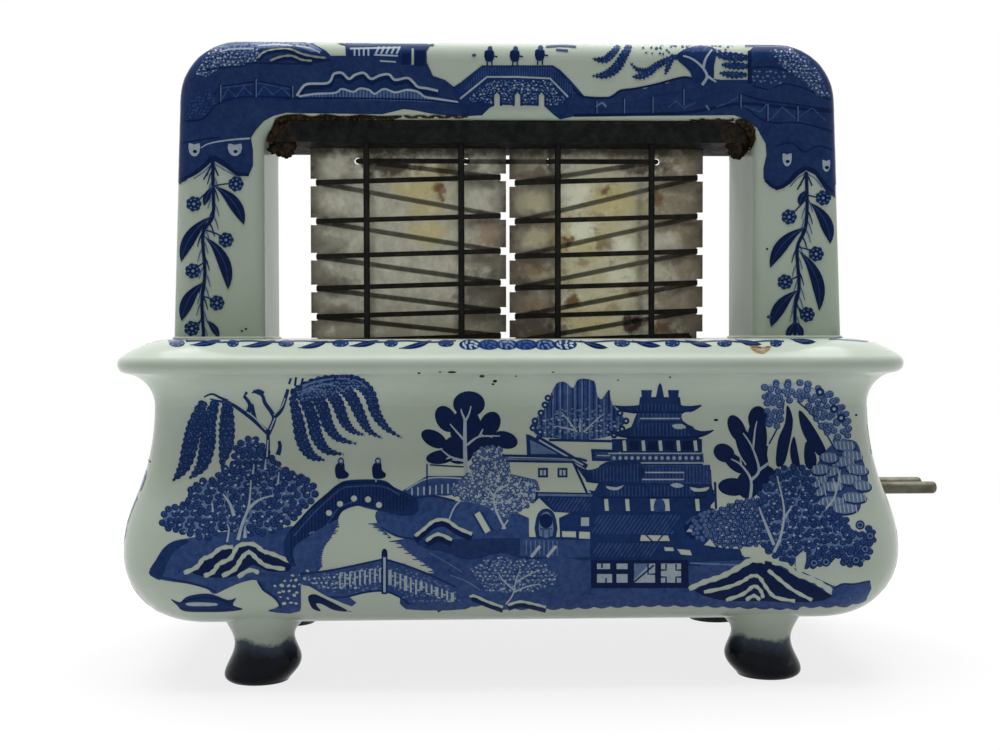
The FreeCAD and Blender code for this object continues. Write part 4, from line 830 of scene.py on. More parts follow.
def draw_leaf_tree(g):
    for x, y, wide, tall, turn in ((758, 419, 10, 13, 0.0), (757, 440, 10, 24, 0.05), (737, 429, 8, 15, -0.45),
            (747, 448, 9, 22, -0.4), (724, 453, 11, 9, 0.5), (735, 463, 14, 7, 0.75), (768, 455, 12, 9, -0.5),
            (757, 470, 12, 18, 0.1), (733, 487, 15, 9, 0.05), (766, 480, 10, 14, 0.2), (748, 485, 12, 14, 0.0)):
        g.disc(DEEP, x, y, wide, tall, 20, turn)
    g.lines(PALE, 3.2, [[(750, 500), (751, 480), (741, 465), (731, 459)],
        [(751, 480), (759, 470), (752, 447), (743, 433)], [(759, 470), (771, 461), (775, 453)]], taper=(1, 0.35))
    g.lines(PALE, 2.2, [[(741, 465), (740, 456)], [(753, 449), (755, 430), (757, 421)], [(766, 464), (775, 462)]],
        taper=(1, 0.4))


def draw_tall_rock(g):
    g.area(CLEAR, [(784, 403), (796, 401), (812, 418), (826, 436), (833, 451), (822, 468), (774, 468), (768, 446),
        (780, 424)], 3)
    for points in ([(787, 405), (793, 420), (789, 446), (784, 464), (776, 465), (778, 440), (785, 423)],
            [(799, 410), (811, 423), (826, 450), (821, 457), (810, 446), (801, 428)],
            [(794, 436), (798, 453), (800, 469), (793, 466), (790, 450)],
            [(807, 441), (816, 455), (815, 469), (806, 467), (804, 452)]):
        g.area(DEEP, points, 3)
    g.lines(DARK, 1.6, [[(784, 403), (779, 424), (769, 444)], [(797, 401), (813, 416), (828, 437), (835, 451)]])
    for outline in ([(768, 384), (808, 384), (808, 398), (796, 400), (768, 400)],
            [(804, 392), (824, 390), (846, 414), (846, 440), (832, 438), (812, 412)],
            [(768, 398), (780, 400), (779, 424), (769, 424)]):
        g.round_leaves(outline, 6.8, PALE, MID, LIGHT)
    for x, y in ((820, 392), (841, 418), (834, 409)):
        g.disc(DARK, x, y, 4.4)
        g.disc(PALE, x, y, 1.7, sides=7)


def draw_right_trees(g):
    g.area(MID, [(828, 448), (842, 440), (856, 442), (862, 458), (868, 480), (862, 496), (858, 512), (838, 516),
        (816, 510), (808, 490), (814, 470)], 3)
    for x, y, wide, turn in ((844, 446, 11, 0.1), (852, 456, 10, 0.2), (842, 462, 12, -0.1), (857, 470, 11, 0.2),
            (829, 472, 10, -0.2), (849, 480, 12, 0.1), (862, 486, 9, 0.2), (819, 480, 9, -0.2), (832, 487, 11, 0.0),
            (816, 492, 10, -0.1), (854, 498, 12, 0.1), (832, 502, 12, 0.0), (845, 509, 12, 0.0), (817, 505, 9, 0.1),
            (829, 458, 9, 0.1), (820, 470, 9, -0.1), (812, 484, 8, 0.0)):
        g.disc(DARK, x, y + 0.5, wide * 1.12, 6.2, 16, turn)
        g.disc(LIGHT, x, y - 0.5, wide * 1.12 - 1.1, 5.2, 14, turn)
        for step in range(int(wide / 2)):
            across = x - wide + 3.2 + 4 * step
            g.line(PALE, 1.1, [(across - 0.6, y - 4.2), (across + 0.6, y + 3.4)])
    g.lines(PALE, 2.6, [[(822, 512), (833, 500), (838, 484), (840, 470)], [(836, 492), (833, 478)]], taper=(1, 0.5))
    g.round_leaves([(692, 524), (704, 513), (722, 514), (722, 536), (706, 540), (695, 536)], 4.6, DARK, MID, LIGHT)
    g.round_leaves(
        [(709, 530), (713, 516), (725, 507), (742, 501), (762, 502), (767, 530), (756, 545), (724, 546), (713, 541)],
        4.8, MID, DARK, LIGHT)
    g.stipple([(709, 530), (725, 507), (742, 501), (764, 504), (766, 530), (756, 545), (724, 546)], 8.0, 1.1, PALE)
    g.round_leaves(
        [(762, 506), (760, 494), (772, 478), (784, 468), (802, 468), (812, 480), (816, 500), (830, 514), (846, 520),
        (848, 530), (862, 534), (870, 528), (873, 540), (864, 562), (846, 564), (838, 556), (820, 564), (806, 566),
        (790, 563), (775, 556), (764, 545), (764, 526)], 6.6, LIGHT)
    g.stipple(
        [(766, 506), (772, 482), (800, 472), (812, 500), (840, 524), (864, 540), (840, 552), (800, 556), (770, 540)],
        9.0, 1.2, PALE)
    for x, y in ((870, 536), (865, 549), (860, 525), (856, 560), (814, 563), (826, 562)):
        g.disc(DARK, x, y, 4.8)
        g.disc(LIGHT, x, y, 3.2)
        g.disc(DARK, x, y, 1.9)
    g.lines(PALE, 3.2, [[(774, 552), (781, 535), (784, 509), (777, 476)], [(774, 545), (763, 518), (759, 507)],
        [(783, 520), (792, 506)]], taper=(1, 0.4))
    g.area(CLEAR, [(745, 547), (757, 547), (760, 557), (744, 557)])
    g.area(CLEAR, [(796, 557), (806, 552), (804, 570), (797, 573)], 2)
    g.area(CLEAR, [(704, 545), (710, 539), (716, 547)])


def draw_right_rocks(g):
    g.area(DEEP, [(694, 590), (720, 580), (752, 562), (772, 563), (796, 576), (832, 596), (806, 602), (760, 601),
        (720, 600)], 2)
    g.lines(CLEAR, 5.4, [[(689, 589), (704, 582), (720, 577), (736, 569), (752, 560), (765, 561)],
        [(772, 562), (786, 565), (795, 573), (811, 579), (824, 586), (836, 595)]], taper=(0.9, 1.1), smooth=3,
        teeth=0.5)
    g.lines(CLEAR, 4.2, [
        [(704, 592), (728, 587), (743, 581), (751, 576), (759, 577), (766, 587), (775, 597), (795, 601)],
        [(726, 600), (743, 594), (754, 586), (761, 591), (763, 598)], [(746, 600), (754, 595.5), (760, 600)],
        [(768, 570), (779, 579), (793, 590), (812, 600)]], taper=(0.9, 0.8), smooth=3, teeth=0.4)
    g.area(MID, [(832, 590), (840, 585), (854, 584), (870, 581), (867, 597), (836, 603)], 2)
    g.line(DARK, 1.6, [(834, 589), (842, 584), (854, 584), (870, 581)])


def draw_specks(g):
    """Pits and rust marks that age the glaze."""
    for x, y, wide, tall in ((419, 373, 2.0, 0.8), (452, 372, 4.6, 1.1), (482, 376, 2.8, 1.5), (440, 372, 1.6, 0.6),
            (856, 415, 1.3, 1.3), (552, 397, 1.4, 2.4), (618, 380, 0.9, 0.9), (670, 377, 1.2, 0.9),
            (516, 376, 0.9, 0.9), (553, 372, 1.6, 0.6)):
        g.disc(RUST, x, y, wide, tall, 9)
    for x, y, wide, tall in ((495, 381, 2.2, 1.4), (493, 384, 1.6, 1.0), (716, 420, 2.4, 1.2)):
        g.disc(SOOT, x, y, wide, tall, 9)


LANDSCAPE = (draw_ground, draw_hill, draw_oak, draw_light_bush, draw_stippled_tree, draw_houses, draw_left_island,
    draw_bridge, draw_water, draw_fence, draw_boat, draw_round_tree, draw_willow, draw_pagoda, draw_panels,
    draw_leaf_tree, draw_tall_rock, draw_right_trees, draw_right_rocks, draw_specks)


# The arch: a band of landscape over the window and a garland down each leg
LEAF_WIDTH, SMALL_LEAF_WIDTH, SMALL_LEAF = 12.5, 7.0, 30
FLOWER_SIZE = 7.5


def leaf(g, start, end, bow, width=LEAF_WIDTH):
    """Pointed leaf on a bowed rib."""
    (x0, y0), (x1, y1) = start, end
    bend = ((x0 + x1) / 2 - (y1 - y0) * bow, (y0 + y1) / 2 + (x1 - x0) * bow)
    rib, left, right = [], [], []
    for k in range(13):
        t = k / 12
        x, y = (p * (1 - t) ** 2 + 2 * q * t * (1 - t) + r * t * t for p, q, r in zip(start, bend, end))
        dx, dy = (2 * (1 - t) * (q - p) + 2 * t * (r - q) for p, q, r in zip(start, bend, end))
        run = math.hypot(dx, dy)
        half = width / 2 * math.sin(math.pi * t ** 1.25) ** 0.85
        rib.append((x, y))
        left.append((x - dy / run * half, y + dx / run * half))
        right.append((x + dy / run * half, y - dx / run * half))
    g.area(DEEP, left + right[::-1])
    g.line(MID, 0.9, rib, taper=(1, 0.3), smooth=0)


def flower(g, x, y):
    """Small open blossom seen from the front."""
    for k in range(7):
        a = 2 * math.pi * k / 7
        g.disc(DARK, x + 0.64 * FLOWER_SIZE * math.cos(a), y + 0.64 * FLOWER_SIZE * math.sin(a), 0.42 * FLOWER_SIZE,
            sides=8)
    g.disc(DEEP, x, y, 0.66 * FLOWER_SIZE, sides=10)
    for k in range(7):
        a = 2 * math.pi * (k + 0.5) / 7
        g.disc(LIGHT, x + 0.62 * FLOWER_SIZE * math.cos(a), y + 0.62 * FLOWER_SIZE * math.sin(a), 0.16 * FLOWER_SIZE,
            0.12 * FLOWER_SIZE, 6)
    g.disc(LIGHT, x, y, 0.22 * FLOWER_SIZE, sides=8)
    g.disc(PALE, x, y, 0.1 * FLOWER_SIZE, sides=6)


def draw_legs(g):
    stems = ([(213, 160), (213, 181), (213, 216), (203, 233), (205, 273), (202, 302), (204, 338)],
        [(806, 172), (807, 205), (805, 229), (797, 249), (799, 286), (795, 308), (795, 340)])
    for stem in stems:
        path = spline(stem, False, 5)
        for k, (x, y) in enumerate(path[3:-1]):
            side = 1 if k % 2 else -1
            g.line(LIGHT if k % 3 else DARK, 2.2, [(x, y), (x + side * 3, y + 5), (x + side * 5.5, y + 14)],
                taper=(1, 0.4), smooth=2)
        g.line(DEEP, 3.4, stem)
    g.lines(DARK, 1.5, [[(213, 187), (203, 196), (196, 203)], [(214, 186), (226, 184), (234, 184)],
        [(205, 230), (217, 234), (225, 239)], [(205, 262), (199, 266), (194, 270)],
        [(203, 296), (211, 299), (217, 302)], [(203, 320), (196, 324)], [(806, 199), (797, 209), (790, 216)],
        [(806, 195), (815, 197), (822, 198)], [(798, 247), (809, 250), (816, 254)],
        [(799, 276), (790, 280), (785, 282)], [(796, 306), (802, 311), (806, 314)]])
    for start, end, bow in (((214, 186), (244, 225), 0.22), ((212, 216), (181.5, 262), 0.22),
            ((204, 236), (228, 290), 0.26), ((204, 282), (182, 321), 0.2), ((206, 320), (219, 338), 0.15),
            ((213, 186), (204, 206), 0.1), ((809, 202), (830, 244), 0.24), ((806, 227), (770, 268), 0.22),
            ((798, 250), (819, 311), 0.25), ((798, 290), (771, 327), 0.2), ((795, 321), (802, 338), 0.1),
            ((795, 322), (787, 339), 0.1), ((806, 190), (799, 205), 0.1)):
        length = math.hypot(end[0] - start[0], end[1] - start[1])
        leaf(g, start, end, bow if start[0] > end[0] else -bow, SMALL_LEAF_WIDTH if length < SMALL_LEAF else LEAF_WIDTH)
    for x, y in ((194, 204), (236, 184), (226, 240), (193, 271), (217, 303), (192, 328.5), (789, 217), (823, 198),
            (816, 254), (785, 282), (807, 314.5)):
        flower(g, x, y)
    for x, y in ((242, 331), (767, 249)):
        g.disc(DARK, x, y, 1.2, sides=7)
    g.disc(MID, 769, 317, 2.6, 1.8, 9)
    g.disc(RUST, 246, 329, 1.6, 1.0, 8)


def painted_corner_sheen(g, outline):
    """Dabs of lighter ink on a rounded corner: a painted sheen that stands for the glaze's reflection there."""
    for spacing, size, ink in ((2.8, 1.2, MID), (3.4, 1.1, LIGHT), (4.6, 1.1, PALE)):
        g.stipple(outline, spacing, size, ink)


def draw_arch_left(g):
    g.area(BAND, [(174, 184), (175, 104), (180, 80), (190, 62), (206, 48), (222, 40), (312, 40), (313, 44), (326, 51),
        (331, 56), (346, 56), (345, 42), (426, 42), (427, 63), (433, 76), (445, 80), (454, 87), (460, 88), (494, 106),
        (487, 109), (480, 114.5), (467, 115.5), (449, 115.5), (429, 113), (416, 110.5), (404, 109), (395, 111),
        (382, 114), (349, 113.5), (304, 113), (286, 112.5), (273, 116), (264, 121), (256, 130), (251, 138), (253, 150),
        (253, 166), (249, 175), (238, 177), (226, 168), (212, 160), (203, 166), (194, 174), (186, 181), (174, 187)])
    # Painted sheen of the glaze's reflection on the rounded corner, then feathery growth and a scarp along the top
    painted_corner_sheen(g, [(196, 74), (204, 58), (216, 48), (236, 46), (260, 47), (258, 61), (240, 66), (222, 66), (206, 77)])
    g.stipple([(186, 118), (190, 100), (206, 92), (216, 94), (214, 106), (203, 117)], 3.6, 1.2, MID, DARK)
    g.area(LIGHT, [(218, 47), (258, 43), (300, 42), (312, 45), (322, 51), (312, 52), (296, 47), (272, 48), (244, 49)],
        3)
    g.stipple([(218, 44), (262, 40), (300, 41), (312, 46), (300, 50), (262, 52), (232, 50)], 3.6, 1.3, BAND)
    g.lines(PALE, 1.4, [[(220, 52), (232, 49.5), (254, 49)], [(258, 46), (276, 45), (292, 46)],
        [(296, 46), (310, 48.5), (320, 53)]])
    g.bands(
        [[(258, 58), (264, 52), (276, 49), (290, 49), (302, 54), (316, 57), (326, 58)],
        [(270, 61), (280, 57), (292, 56), (302, 60), (312, 61)]], 2.2)
    g.line(DEEP, 1.6, [(206, 70), (222, 68), (244, 66), (252, 63), (300, 64), (330, 60)])
    # Fence on the bank
    g.area(DARK, [(214, 96), (221, 88), (236, 85.5), (256, 82.5), (292, 88), (293, 99), (244, 98), (224, 102)])
    g.lines(DEEP, 2.0, [[(214, 95), (221, 87), (236, 85), (256, 82), (272, 84), (292, 88)],
        [(186, 121), (203, 119), (214, 107), (224, 101), (244, 97), (266, 97), (293, 98)]])
    g.lines(MID, 1.6, [[(222, 99), (228, 89), (236, 97), (244, 87), (252, 95)],
        [(258, 95), (264, 86), (273, 95), (282, 88), (290, 96)], [(222, 88), (254, 84)], [(258, 83), (290, 89)]],
        smooth=0)
    for x, top, low in ((220, 84, 102), (255.5, 78, 97), (292, 85, 98)):
        g.line(DEEP, 2.6, [(x, top), (x, low)])
        g.line(LIGHT, 1.0, [(x + 0.8, top + 1), (x + 0.8, low)])
    # Scalloped rocks
    far = [(297, 96), (302, 88), (308, 84), (326, 83.5), (331, 80), (334, 74), (342, 73), (349, 79), (355, 75),
        (364, 73), (371, 79), (380, 75.5), (389, 74.5), (395, 80), (407, 78), (413, 82), (418, 87), (427, 88.5),
        (438, 91)]
    near = [(299, 96.5), (315, 94), (335, 93), (342, 89), (353, 92), (360, 88.5), (369, 90), (375, 94), (384, 89),
        (395, 92.5), (407, 90), (418, 92), (425, 97), (438, 99), (459, 102.5)]
    g.area(DARK, far + near[::-1])
    g.line(DEEP, 4.4, [(x, y + 3.6) for x, y in far])
    skirt = near + [(459, 103), (299, 97.5)]
    g.area(MID, skirt)
    g.hatch(LIGHT, skirt, 3.4, 1.2)
    g.line(PALE, 2.4, far)
    g.line(PALE, 2.0, near)
    g.line(DEEP, 1.8, [(284, 99), (330, 98), (420, 100), (460, 104)])
    g.line(DARK, 1.6, [(232, 101), (262, 99), (292, 101)])
    # Small house on the skyline
    g.area(DARK, [(345, 42), (424, 42), (430, 46), (426, 52), (426, 65), (400, 65), (398, 60), (372, 57), (347, 57)])
    g.hatch(PALE, [(350, 49), (372, 49), (372, 56), (350, 56)], 4.6, 1.7)
    g.hatch(PALE, [(374, 47), (400, 47), (400, 54), (374, 54)], 5.2, 2.0, 0.5)
    g.lines(PALE, 1.6, [[(350, 49), (398, 48)], [(374, 55), (398, 56)], [(380, 61), (396, 62)]])
    g.box(DEEP, 402, 53, 410, 65)
    g.box(DEEP, 415, 51, 425, 66)
    g.line(CLEAR, 2.4, [(412.7, 48), (412.7, 65)])
    g.lines(DARK, 1.8, [[(426, 46), (434, 45)], [(330, 41), (346, 45)]])


def draw_arch_bridge(g):
    g.area(DARK, [(452, 88), (460, 83), (482, 65.5), (553, 65.5), (560, 70), (571, 81), (584, 96), (600, 98),
        (574, 116), (560, 119), (553, 114), (544, 106), (500, 105), (491, 106.5), (482, 115), (464, 116), (458, 102)])
    g.hatch(MID, [(484, 67), (552, 67), (566, 80), (578, 94), (568, 94), (551, 77), (487, 75), (470, 90), (462, 90)],
        2.4, 0.9)
    g.lines(PALE, 1.8, [[(460, 99), (487, 77), (518, 77), (550, 78.5), (568, 97)]], smooth=0)
    wall = [(466, 101), (488, 80), (550, 81), (566, 100), (560, 106), (545, 104), (492, 103)]
    g.stipple(wall, 3.2, 1.05, LIGHT)
    g.stipple(wall, 5.5, 1.0, PALE)
    for x in (497, 517.5, 541.5):
        g.area(DARK, [(x - 5, 106), (x - 5, 95), (x, 90.5), (x + 5, 95), (x + 5, 106)])
        g.area(CLEAR, [(x - 2.7, 107), (x - 2.7, 95.5), (x, 92.5), (x + 2.7, 95.5), (x + 2.7, 107)])
    for x, y in ((489.5, 56), (515, 56), (540, 55)):
        g.area(DEEP, [(x - 4, y + 5), (x - 5, y - 4), (x, y - 6), (x + 4.5, y - 4), (x + 3.5, y + 5)], 2)
        g.disc(DARK, x + 0.5, y - 7, 2.6)
        g.lines(DARK, 1.5, [[(x - 2, y + 4), (x - 2.5, y + 10)], [(x + 2, y + 4), (x + 2.5, y + 10)],
            [(x + 3, y), (x + 8, y + 1)]])
    g.disc(MID, 474, 55.5, 2.2, 1.6)
    g.lines(MID, 2.0, [[(546, 47), (562, 46), (576, 47)], [(556, 50), (568, 51)]])


def draw_arch_right(g):
    g.area(BAND, [(566, 116), (570, 96), (583, 96), (596, 97), (609, 97), (620, 90.5), (634, 88), (645, 89),
        (656, 83.5), (667, 83.5), (676, 78), (685, 76.5), (697, 79), (706, 78), (722, 80), (748, 80), (748, 52),
        (760, 42), (788, 42), (806, 49), (820, 60), (832, 78), (836, 100), (838, 200), (832, 196), (828, 195),
        (821, 184), (815, 175), (806, 170.5), (799, 175), (790, 184), (783, 188.5), (776, 190.5), (770, 184),
        (763.5, 179), (763.5, 168), (766.5, 155), (765.5, 144), (757, 128), (745, 119), (734, 115)])
    g.line(DEEP, 2.2, [(573, 88), (583, 97), (609, 98), (620, 91), (634, 89), (656, 84.5), (676, 79), (686, 77.5),
        (700, 80)])
    g.lines(DARK, 1.6, [[(610, 104), (640, 101), (664, 94), (684, 92)], [(640, 108), (690, 101), (724, 92), (748, 96)]])
    g.line(DEEP, 3.0, [(574, 115), (640, 114), (690, 112), (736, 104), (772, 106), (832, 112)])
    # Drooping boughs against the clear sky
    for points, width in (([(592, 76), (605, 75), (616, 68), (623, 57), (630, 45)], 7.0),
            ([(592, 59), (604, 60), (612, 54), (619, 46)], 5.4),
            ([(630, 63), (638, 70), (648, 71), (658, 65), (668, 60), (680, 56)], 5.0),
            ([(632, 77), (643, 76), (655, 70)], 4.4), ([(665, 75), (669, 64), (673, 55)], 4.0),
            ([(714, 54), (730, 57), (748, 58)], 6.4), ([(721, 65), (734, 66), (748, 66.5)], 5.4),
            ([(719, 73), (732, 75), (747, 75)], 5.0)):
        g.frond(points[::-1], width * 1.25)
    g.area(DARK, [(676, 58), (684, 50), (700, 46), (716, 50), (714, 66), (712, 82), (694, 84), (690, 72)], 3)
    g.stipple([(664, 47), (690, 42), (724, 42), (744, 46), (716, 52), (690, 54)], 5.0, 1.8, MID)
    g.stipple([(636, 46), (664, 44), (676, 50), (668, 58), (648, 58)], 5.6, 1.5, MID)
    g.lines(PALE, 3.0, [[(702, 85), (707, 76), (701, 66), (692, 59), (683, 56)], [(707, 76), (716, 82)],
        [(703, 68), (706, 58), (712, 50)]], taper=(1, 0.5))
    # Wall, then the bank round the corner, and a painted sheen of the glaze's reflection on that corner
    g.box(DEEP, 747.5, 51, 751.5, 84)
    g.hatch(DARK, [(752, 52), (784, 50), (800, 62), (800, 70), (752, 66)], 3.2, 1.2)
    g.stipple([(752, 70), (778, 68), (790, 78), (780, 86), (752, 84)], 5.4, 1.5, LIGHT)
    g.lines(DEEP, 1.8, [[(752, 68), (772, 67), (792, 72)], [(774, 88), (784, 84), (800, 87), (812, 92), (830, 100)],
        [(752, 86), (768, 90)]])
    # Painted sheen: lighter dabs where the glaze's reflection lies on the rounded corner
    painted_corner_sheen(g, [(770, 50), (788, 49), (806, 58), (820, 74), (829, 96), (818, 96), (800, 78), (780, 66)])
    for x, top, low in ((596, 100, 113), (623.5, 98, 113), (652, 96, 113), (683, 88, 105), (740, 93, 108),
            (767, 103, 122), (797, 105, 121)):
        g.line(DEEP, 2.2, [(x, top), (x, low)])
        g.line(LIGHT, 0.9, [(x + 0.9, top + 1), (x + 0.9, low)])
    g.lines(MID, 1.6, [[(668, 108), (676, 101), (684, 108), (696, 102)], [(744, 106), (760, 112), (767, 104)],
        [(770, 120), (782, 107), (796, 119)], [(798, 118), (812, 108), (826, 121)],
        [(716, 107), (728, 103), (738, 97)]], smooth=0)
    g.lines(DEEP, 1.8, [[(746, 108), (767, 122), (800, 123), (834, 132)],
        [(742, 94), (760, 100), (790, 104), (832, 110)]])
    g.lines(LIGHT, 2.0, [[(596, 107), (602, 103), (606, 107)], [(706, 105), (709, 110)]])


def draw_scallops(g):
    """Scrolled ends of the blue band above each garland."""
    for x, y, wide, tall in ((194.5, 150, 5.4, 6.6), (235, 150, 6.6, 6.2), (787, 160, 4.4, 6.6), (826, 166, 3.6, 6.0)):
        g.area(PALE, [(x - wide, y - tall), (x, y - tall * 0.8), (x + wide, y - tall), (x + wide * 0.9, y + tall * 0.4),
            (x, y + tall), (x - wide * 0.9, y + tall * 0.4)], 2)
        g.disc(DEEP, x + 0.6, y + 1.6, 2.2, 1.8, 9)
    g.lines(PALE, 1.8, [[(201, 148), (208, 144), (219, 141.5), (235, 139.5), (250, 138.5)]], taper=(0.5, 1))
    g.lines(DEEP, 4.2, [[(213, 157), (203, 167), (192, 175), (180, 180)],
        [(213, 157), (224, 163), (236, 173), (249, 175)], [(806, 168), (798, 172), (788, 182), (776, 188), (765, 180)],
        [(806, 168), (816, 173), (824, 184), (833, 192)]], taper=(1.2, 0.7))
    g.lines(DEEP, 1.6, [[(183, 143), (206, 139), (220, 138)],
        [(776, 146), (792, 143), (804, 152), (818, 146), (832, 150)]])
    g.lines(LIGHT, 1.1, [[(213, 163), (204, 172), (194, 179)], [(213, 163), (226, 171), (238, 177)],
        [(806, 173), (798, 178), (790, 187)], [(806, 173), (815, 179), (822, 188)]])
    for x, y in ((212.5, 168), (806, 178)):
        g.lines(DARK, 1.6, [[(x, y - 6), (x - 6, y + 8)], [(x, y - 6), (x + 6, y + 8)], [(x, y - 4), (x - 9, y + 12)]])


ARCH_BAND = (draw_arch_left, draw_arch_bridge, draw_arch_right, draw_scallops, draw_legs)


# The front rim, in pixels, and the prints for other faces, in millimetres times PLAN_SCALE
PLAN_SCALE = 3.7
SPRIG = 15


def scaled(points):
    return [(x * PLAN_SCALE, y * PLAN_SCALE) for x, y in points]


def draw_garland(g, places, flip=1):
    """A stem through the places with a leaf and a blossom at each, sides in turn."""
    g.line(DARK, 2.2, places)
    for k, ((x0, y0), (x1, y1)) in enumerate(zip(places, places[1:])):
        side = flip if k % 2 else -flip
        dx, dy = x1 - x0, y1 - y0
        run = math.hypot(dx, dy)
        leaf(g, (x0, y0), (x0 + dx * 0.85 - side * dy / run * SPRIG, y0 + dy * 0.85 + side * dx / run * SPRIG),
            side * 0.22)
        flower(g, x0 + dx * 0.5 + side * dy / run * SPRIG, y0 + dy * 0.5 - side * dx / run * SPRIG)


def draw_rim(g):
    """Leaves, blossoms and rosettes along the front rim."""
    for start, end in (((190, 345), (221, 340)), ((242, 346.5), (276, 340.5)), ((298, 348), (328, 341)),
            ((349, 346), (379, 340.5)), ((399, 348.5), (432, 340.5)), ((580, 340.5), (608, 348)),
            ((632, 340.5), (661, 346)), ((685, 340), (712, 346)), ((735, 339.5), (762, 344.5)),
            ((790, 339), (816, 342))):
        leaf(g, start, end, 0.08, 5.4)
    for x, wide in ((177, 8), (233, 6), (286, 8), (340.5, 8.5), (391, 7), (446, 8), (622, 8), (672.5, 7.5),
            (724.5, 7.5), (776, 6)):
        g.disc(DARK, x, 343.5, wide, 3.6, 16)
        for k in range(5):
            g.disc(LIGHT, x + wide * 0.66 * math.cos(k * 1.26), 343.4 + 2.2 * math.sin(k * 1.26), 1.0, 0.6, 6)
    for x, wide, heart in ((470, 11, PALE), (489, 11, MID), (507, 11, LIGHT), (526, 12, MID), (545, 11, LIGHT),
            (565, 12, PALE)):
        g.disc(DARK, x, 344.8, wide, 5.2, 18)
        for k in range(7):
            g.disc(heart, x + wide * 0.6 * math.cos(k * 0.9 + x), 344.8 + 3.0 * math.sin(k * 0.9 + x), 2.4, 1.1, 8,
                0.3 * k)
        g.disc(heart, x + 1, 345.2, 2.2, 1.0, 8)
    g.lines(MID, 1.2, [[(168, 341), (176, 339.8), (188, 339.6)], [(817, 338.6), (842, 339.6), (868, 341.5)]])
    for first, last in ((186, 462), (574, 790)):
        g.line(DARK, 1.5, [(x, 341.6 + 0.7 * math.sin(x * 0.12)) for x in range(first, last, 6)], smooth=0)
    # Iron stain on the rim
    g.area(WASH, [(750, 346.5), (756, 346), (763, 347), (771, 345.8), (770, 349), (767, 352), (763, 354), (757, 353),
        (752, 350)], 4)
    g.line(PALE, 1.6, [(757, 349.6), (761, 350.4), (765, 349.4)], taper=(0.6, 0.6))
    g.lines(RUST, 1.0, [[(752, 347.4), (756, 347.2), (761, 347.8)], [(766, 347), (769, 347.4)]])


def draw_end_rim(g, side):
    """Garland along the rim at one end of the base."""
    draw_garland(g, scaled([(side * (88.6 + 1.0 * math.sin(k * 2.1)), -34 + 11.2 * k) for k in range(7)]))


def draw_arch_end(g, side):
    """Side of the arch: the blue ground over its shoulder, and a garland below."""
    low = [(x, -120.5 - 2.6 * abs(math.sin(x * 0.17))) for x in range(-19, 20)]
    g.area(BAND, scaled(low + [(19, -159), (-19, -159)]))
    g.line(DEEP, 4.0, scaled([(x, y - 1) for x, y in low]), smooth=0)
    for y in (-126, -131, -137, -142, -148, -153):
        g.line(DEEP, 2.0, scaled([(x, y + 0.8 * math.sin(x * 0.5 + y)) for x in range(-18, 19, 3)]))
    for k in range(-3, 4):
        g.line(LIGHT, 1.2, scaled([(k * 5, -142), (k * 5, -137)]))
    g.stipple(scaled([(-16, -127), (16, -127), (16, -131), (-16, -131)]), 5, 1.2, LIGHT)
    draw_garland(g, [(6 * math.sin(k * 1.9) * side, -(84 + 9 * k) * PLAN_SCALE) for k in range(5)], side)


# Blue ground at one shoulder of the arch's top
SHOULDER_GROUND = ((50, 19), (53, 12), (52, 5), (57, 0), (55, -6), (60, -11), (61, -19), (90, -19), (90, 19))


def draw_arch_top(g):
    """Top of the arch: the blue ground at both shoulders, and a garland between them."""
    for side in (-1, 1):
        g.area(BAND, scaled([(side * x, side * y) for x, y in SHOULDER_GROUND]))
        for x in (64, 68, 72):
            g.line(DEEP, 2.0, scaled([(side * (x + math.sin(y * 0.6)), y) for y in range(-18, 19, 3)]))
        near, far = side * 60 * PLAN_SCALE, side * 64 * PLAN_SCALE
        g.stipple([(near, -60), (far, -60), (far, 60), (near, 60)], 6, 1.4, LIGHT)
    draw_garland(g, [((-46 + 11.5 * k) * PLAN_SCALE, 5 * math.sin(k * 2.3)) for k in range(9)])


# Pieces of the landscape for the base's ends, and where the middle of each and its foot lie in the picture
LEFT_END = (draw_hill, draw_left_island, draw_bridge, draw_water, draw_fence, draw_boat, draw_round_tree, draw_willow)
RIGHT_END = (draw_ground, draw_stippled_tree, draw_houses, draw_pagoda, draw_panels, draw_leaf_tree, draw_right_rocks)
LEFT_END_MIDDLE, RIGHT_END_MIDDLE, END_FOOT = 310, 670, 676
END_STRETCH = 0.94


def end_drawing(seed, pieces, middle):
    """Pieces of the landscape, moved to the middle of an end and scaled to it."""
    g = Drawing(seed, *pieces)
    g.shapes = [([((x - middle) * END_STRETCH, (y - END_FOOT) * END_STRETCH) for x, y in outline], ink) for outline,
        ink in g.shapes]
    return g


# Stamping: a drawing is cut into triangles and laid on the glaze, seen from one direction.
# The views from above and from the ends start this many millimetres out.
RAY_START = 300


def cut_drawing(drawing, spacing):
    """Triangles of a drawing, each with the ink that lies on top there."""
    points, edges = [], []
    for outline, ink in drawing.shapes:
        first = len(points)
        for (x0, y0), (x1, y1) in zip(outline, outline[1:] + outline[:1]):
            parts = max(1, math.ceil(math.hypot(x1 - x0, y1 - y0) / spacing))
            points += [(x0 + (x1 - x0) * k / parts, y0 + (y1 - y0) * k / parts) for k in range(parts)]
        edges += [(k, k + 1) for k in range(first, len(points) - 1)] + [(len(points) - 1, first)]
    xs, ys = zip(*points)
    points += [(x, y) for x in np.arange(min(xs), max(xs), spacing) for y in np.arange(min(ys), max(ys), spacing)]
    corners, _, faces, *_ = delaunay_2d_cdt([Vector(point) for point in points], edges, [], 0, 0.01, False)
    corners = np.array([tuple(corner) for corner in corners])
    faces = np.array([tuple(face) for face in faces])
    middle = corners[faces].mean(axis=1)
    inks = np.zeros(len(faces), int)
    for outline, ink in drawing.shapes:
        xs, ys = zip(*outline)
        near = np.flatnonzero((middle[:, 0] > min(xs)) & (middle[:, 0] < max(xs))
                              & (middle[:, 1] > min(ys)) & (middle[:, 1] < max(ys)))
        inks[near[contains(outline, middle[near, 0], middle[near, 1])]] = ink
    kept = inks > CLEAR
    return corners, faces[kept], inks[kept]


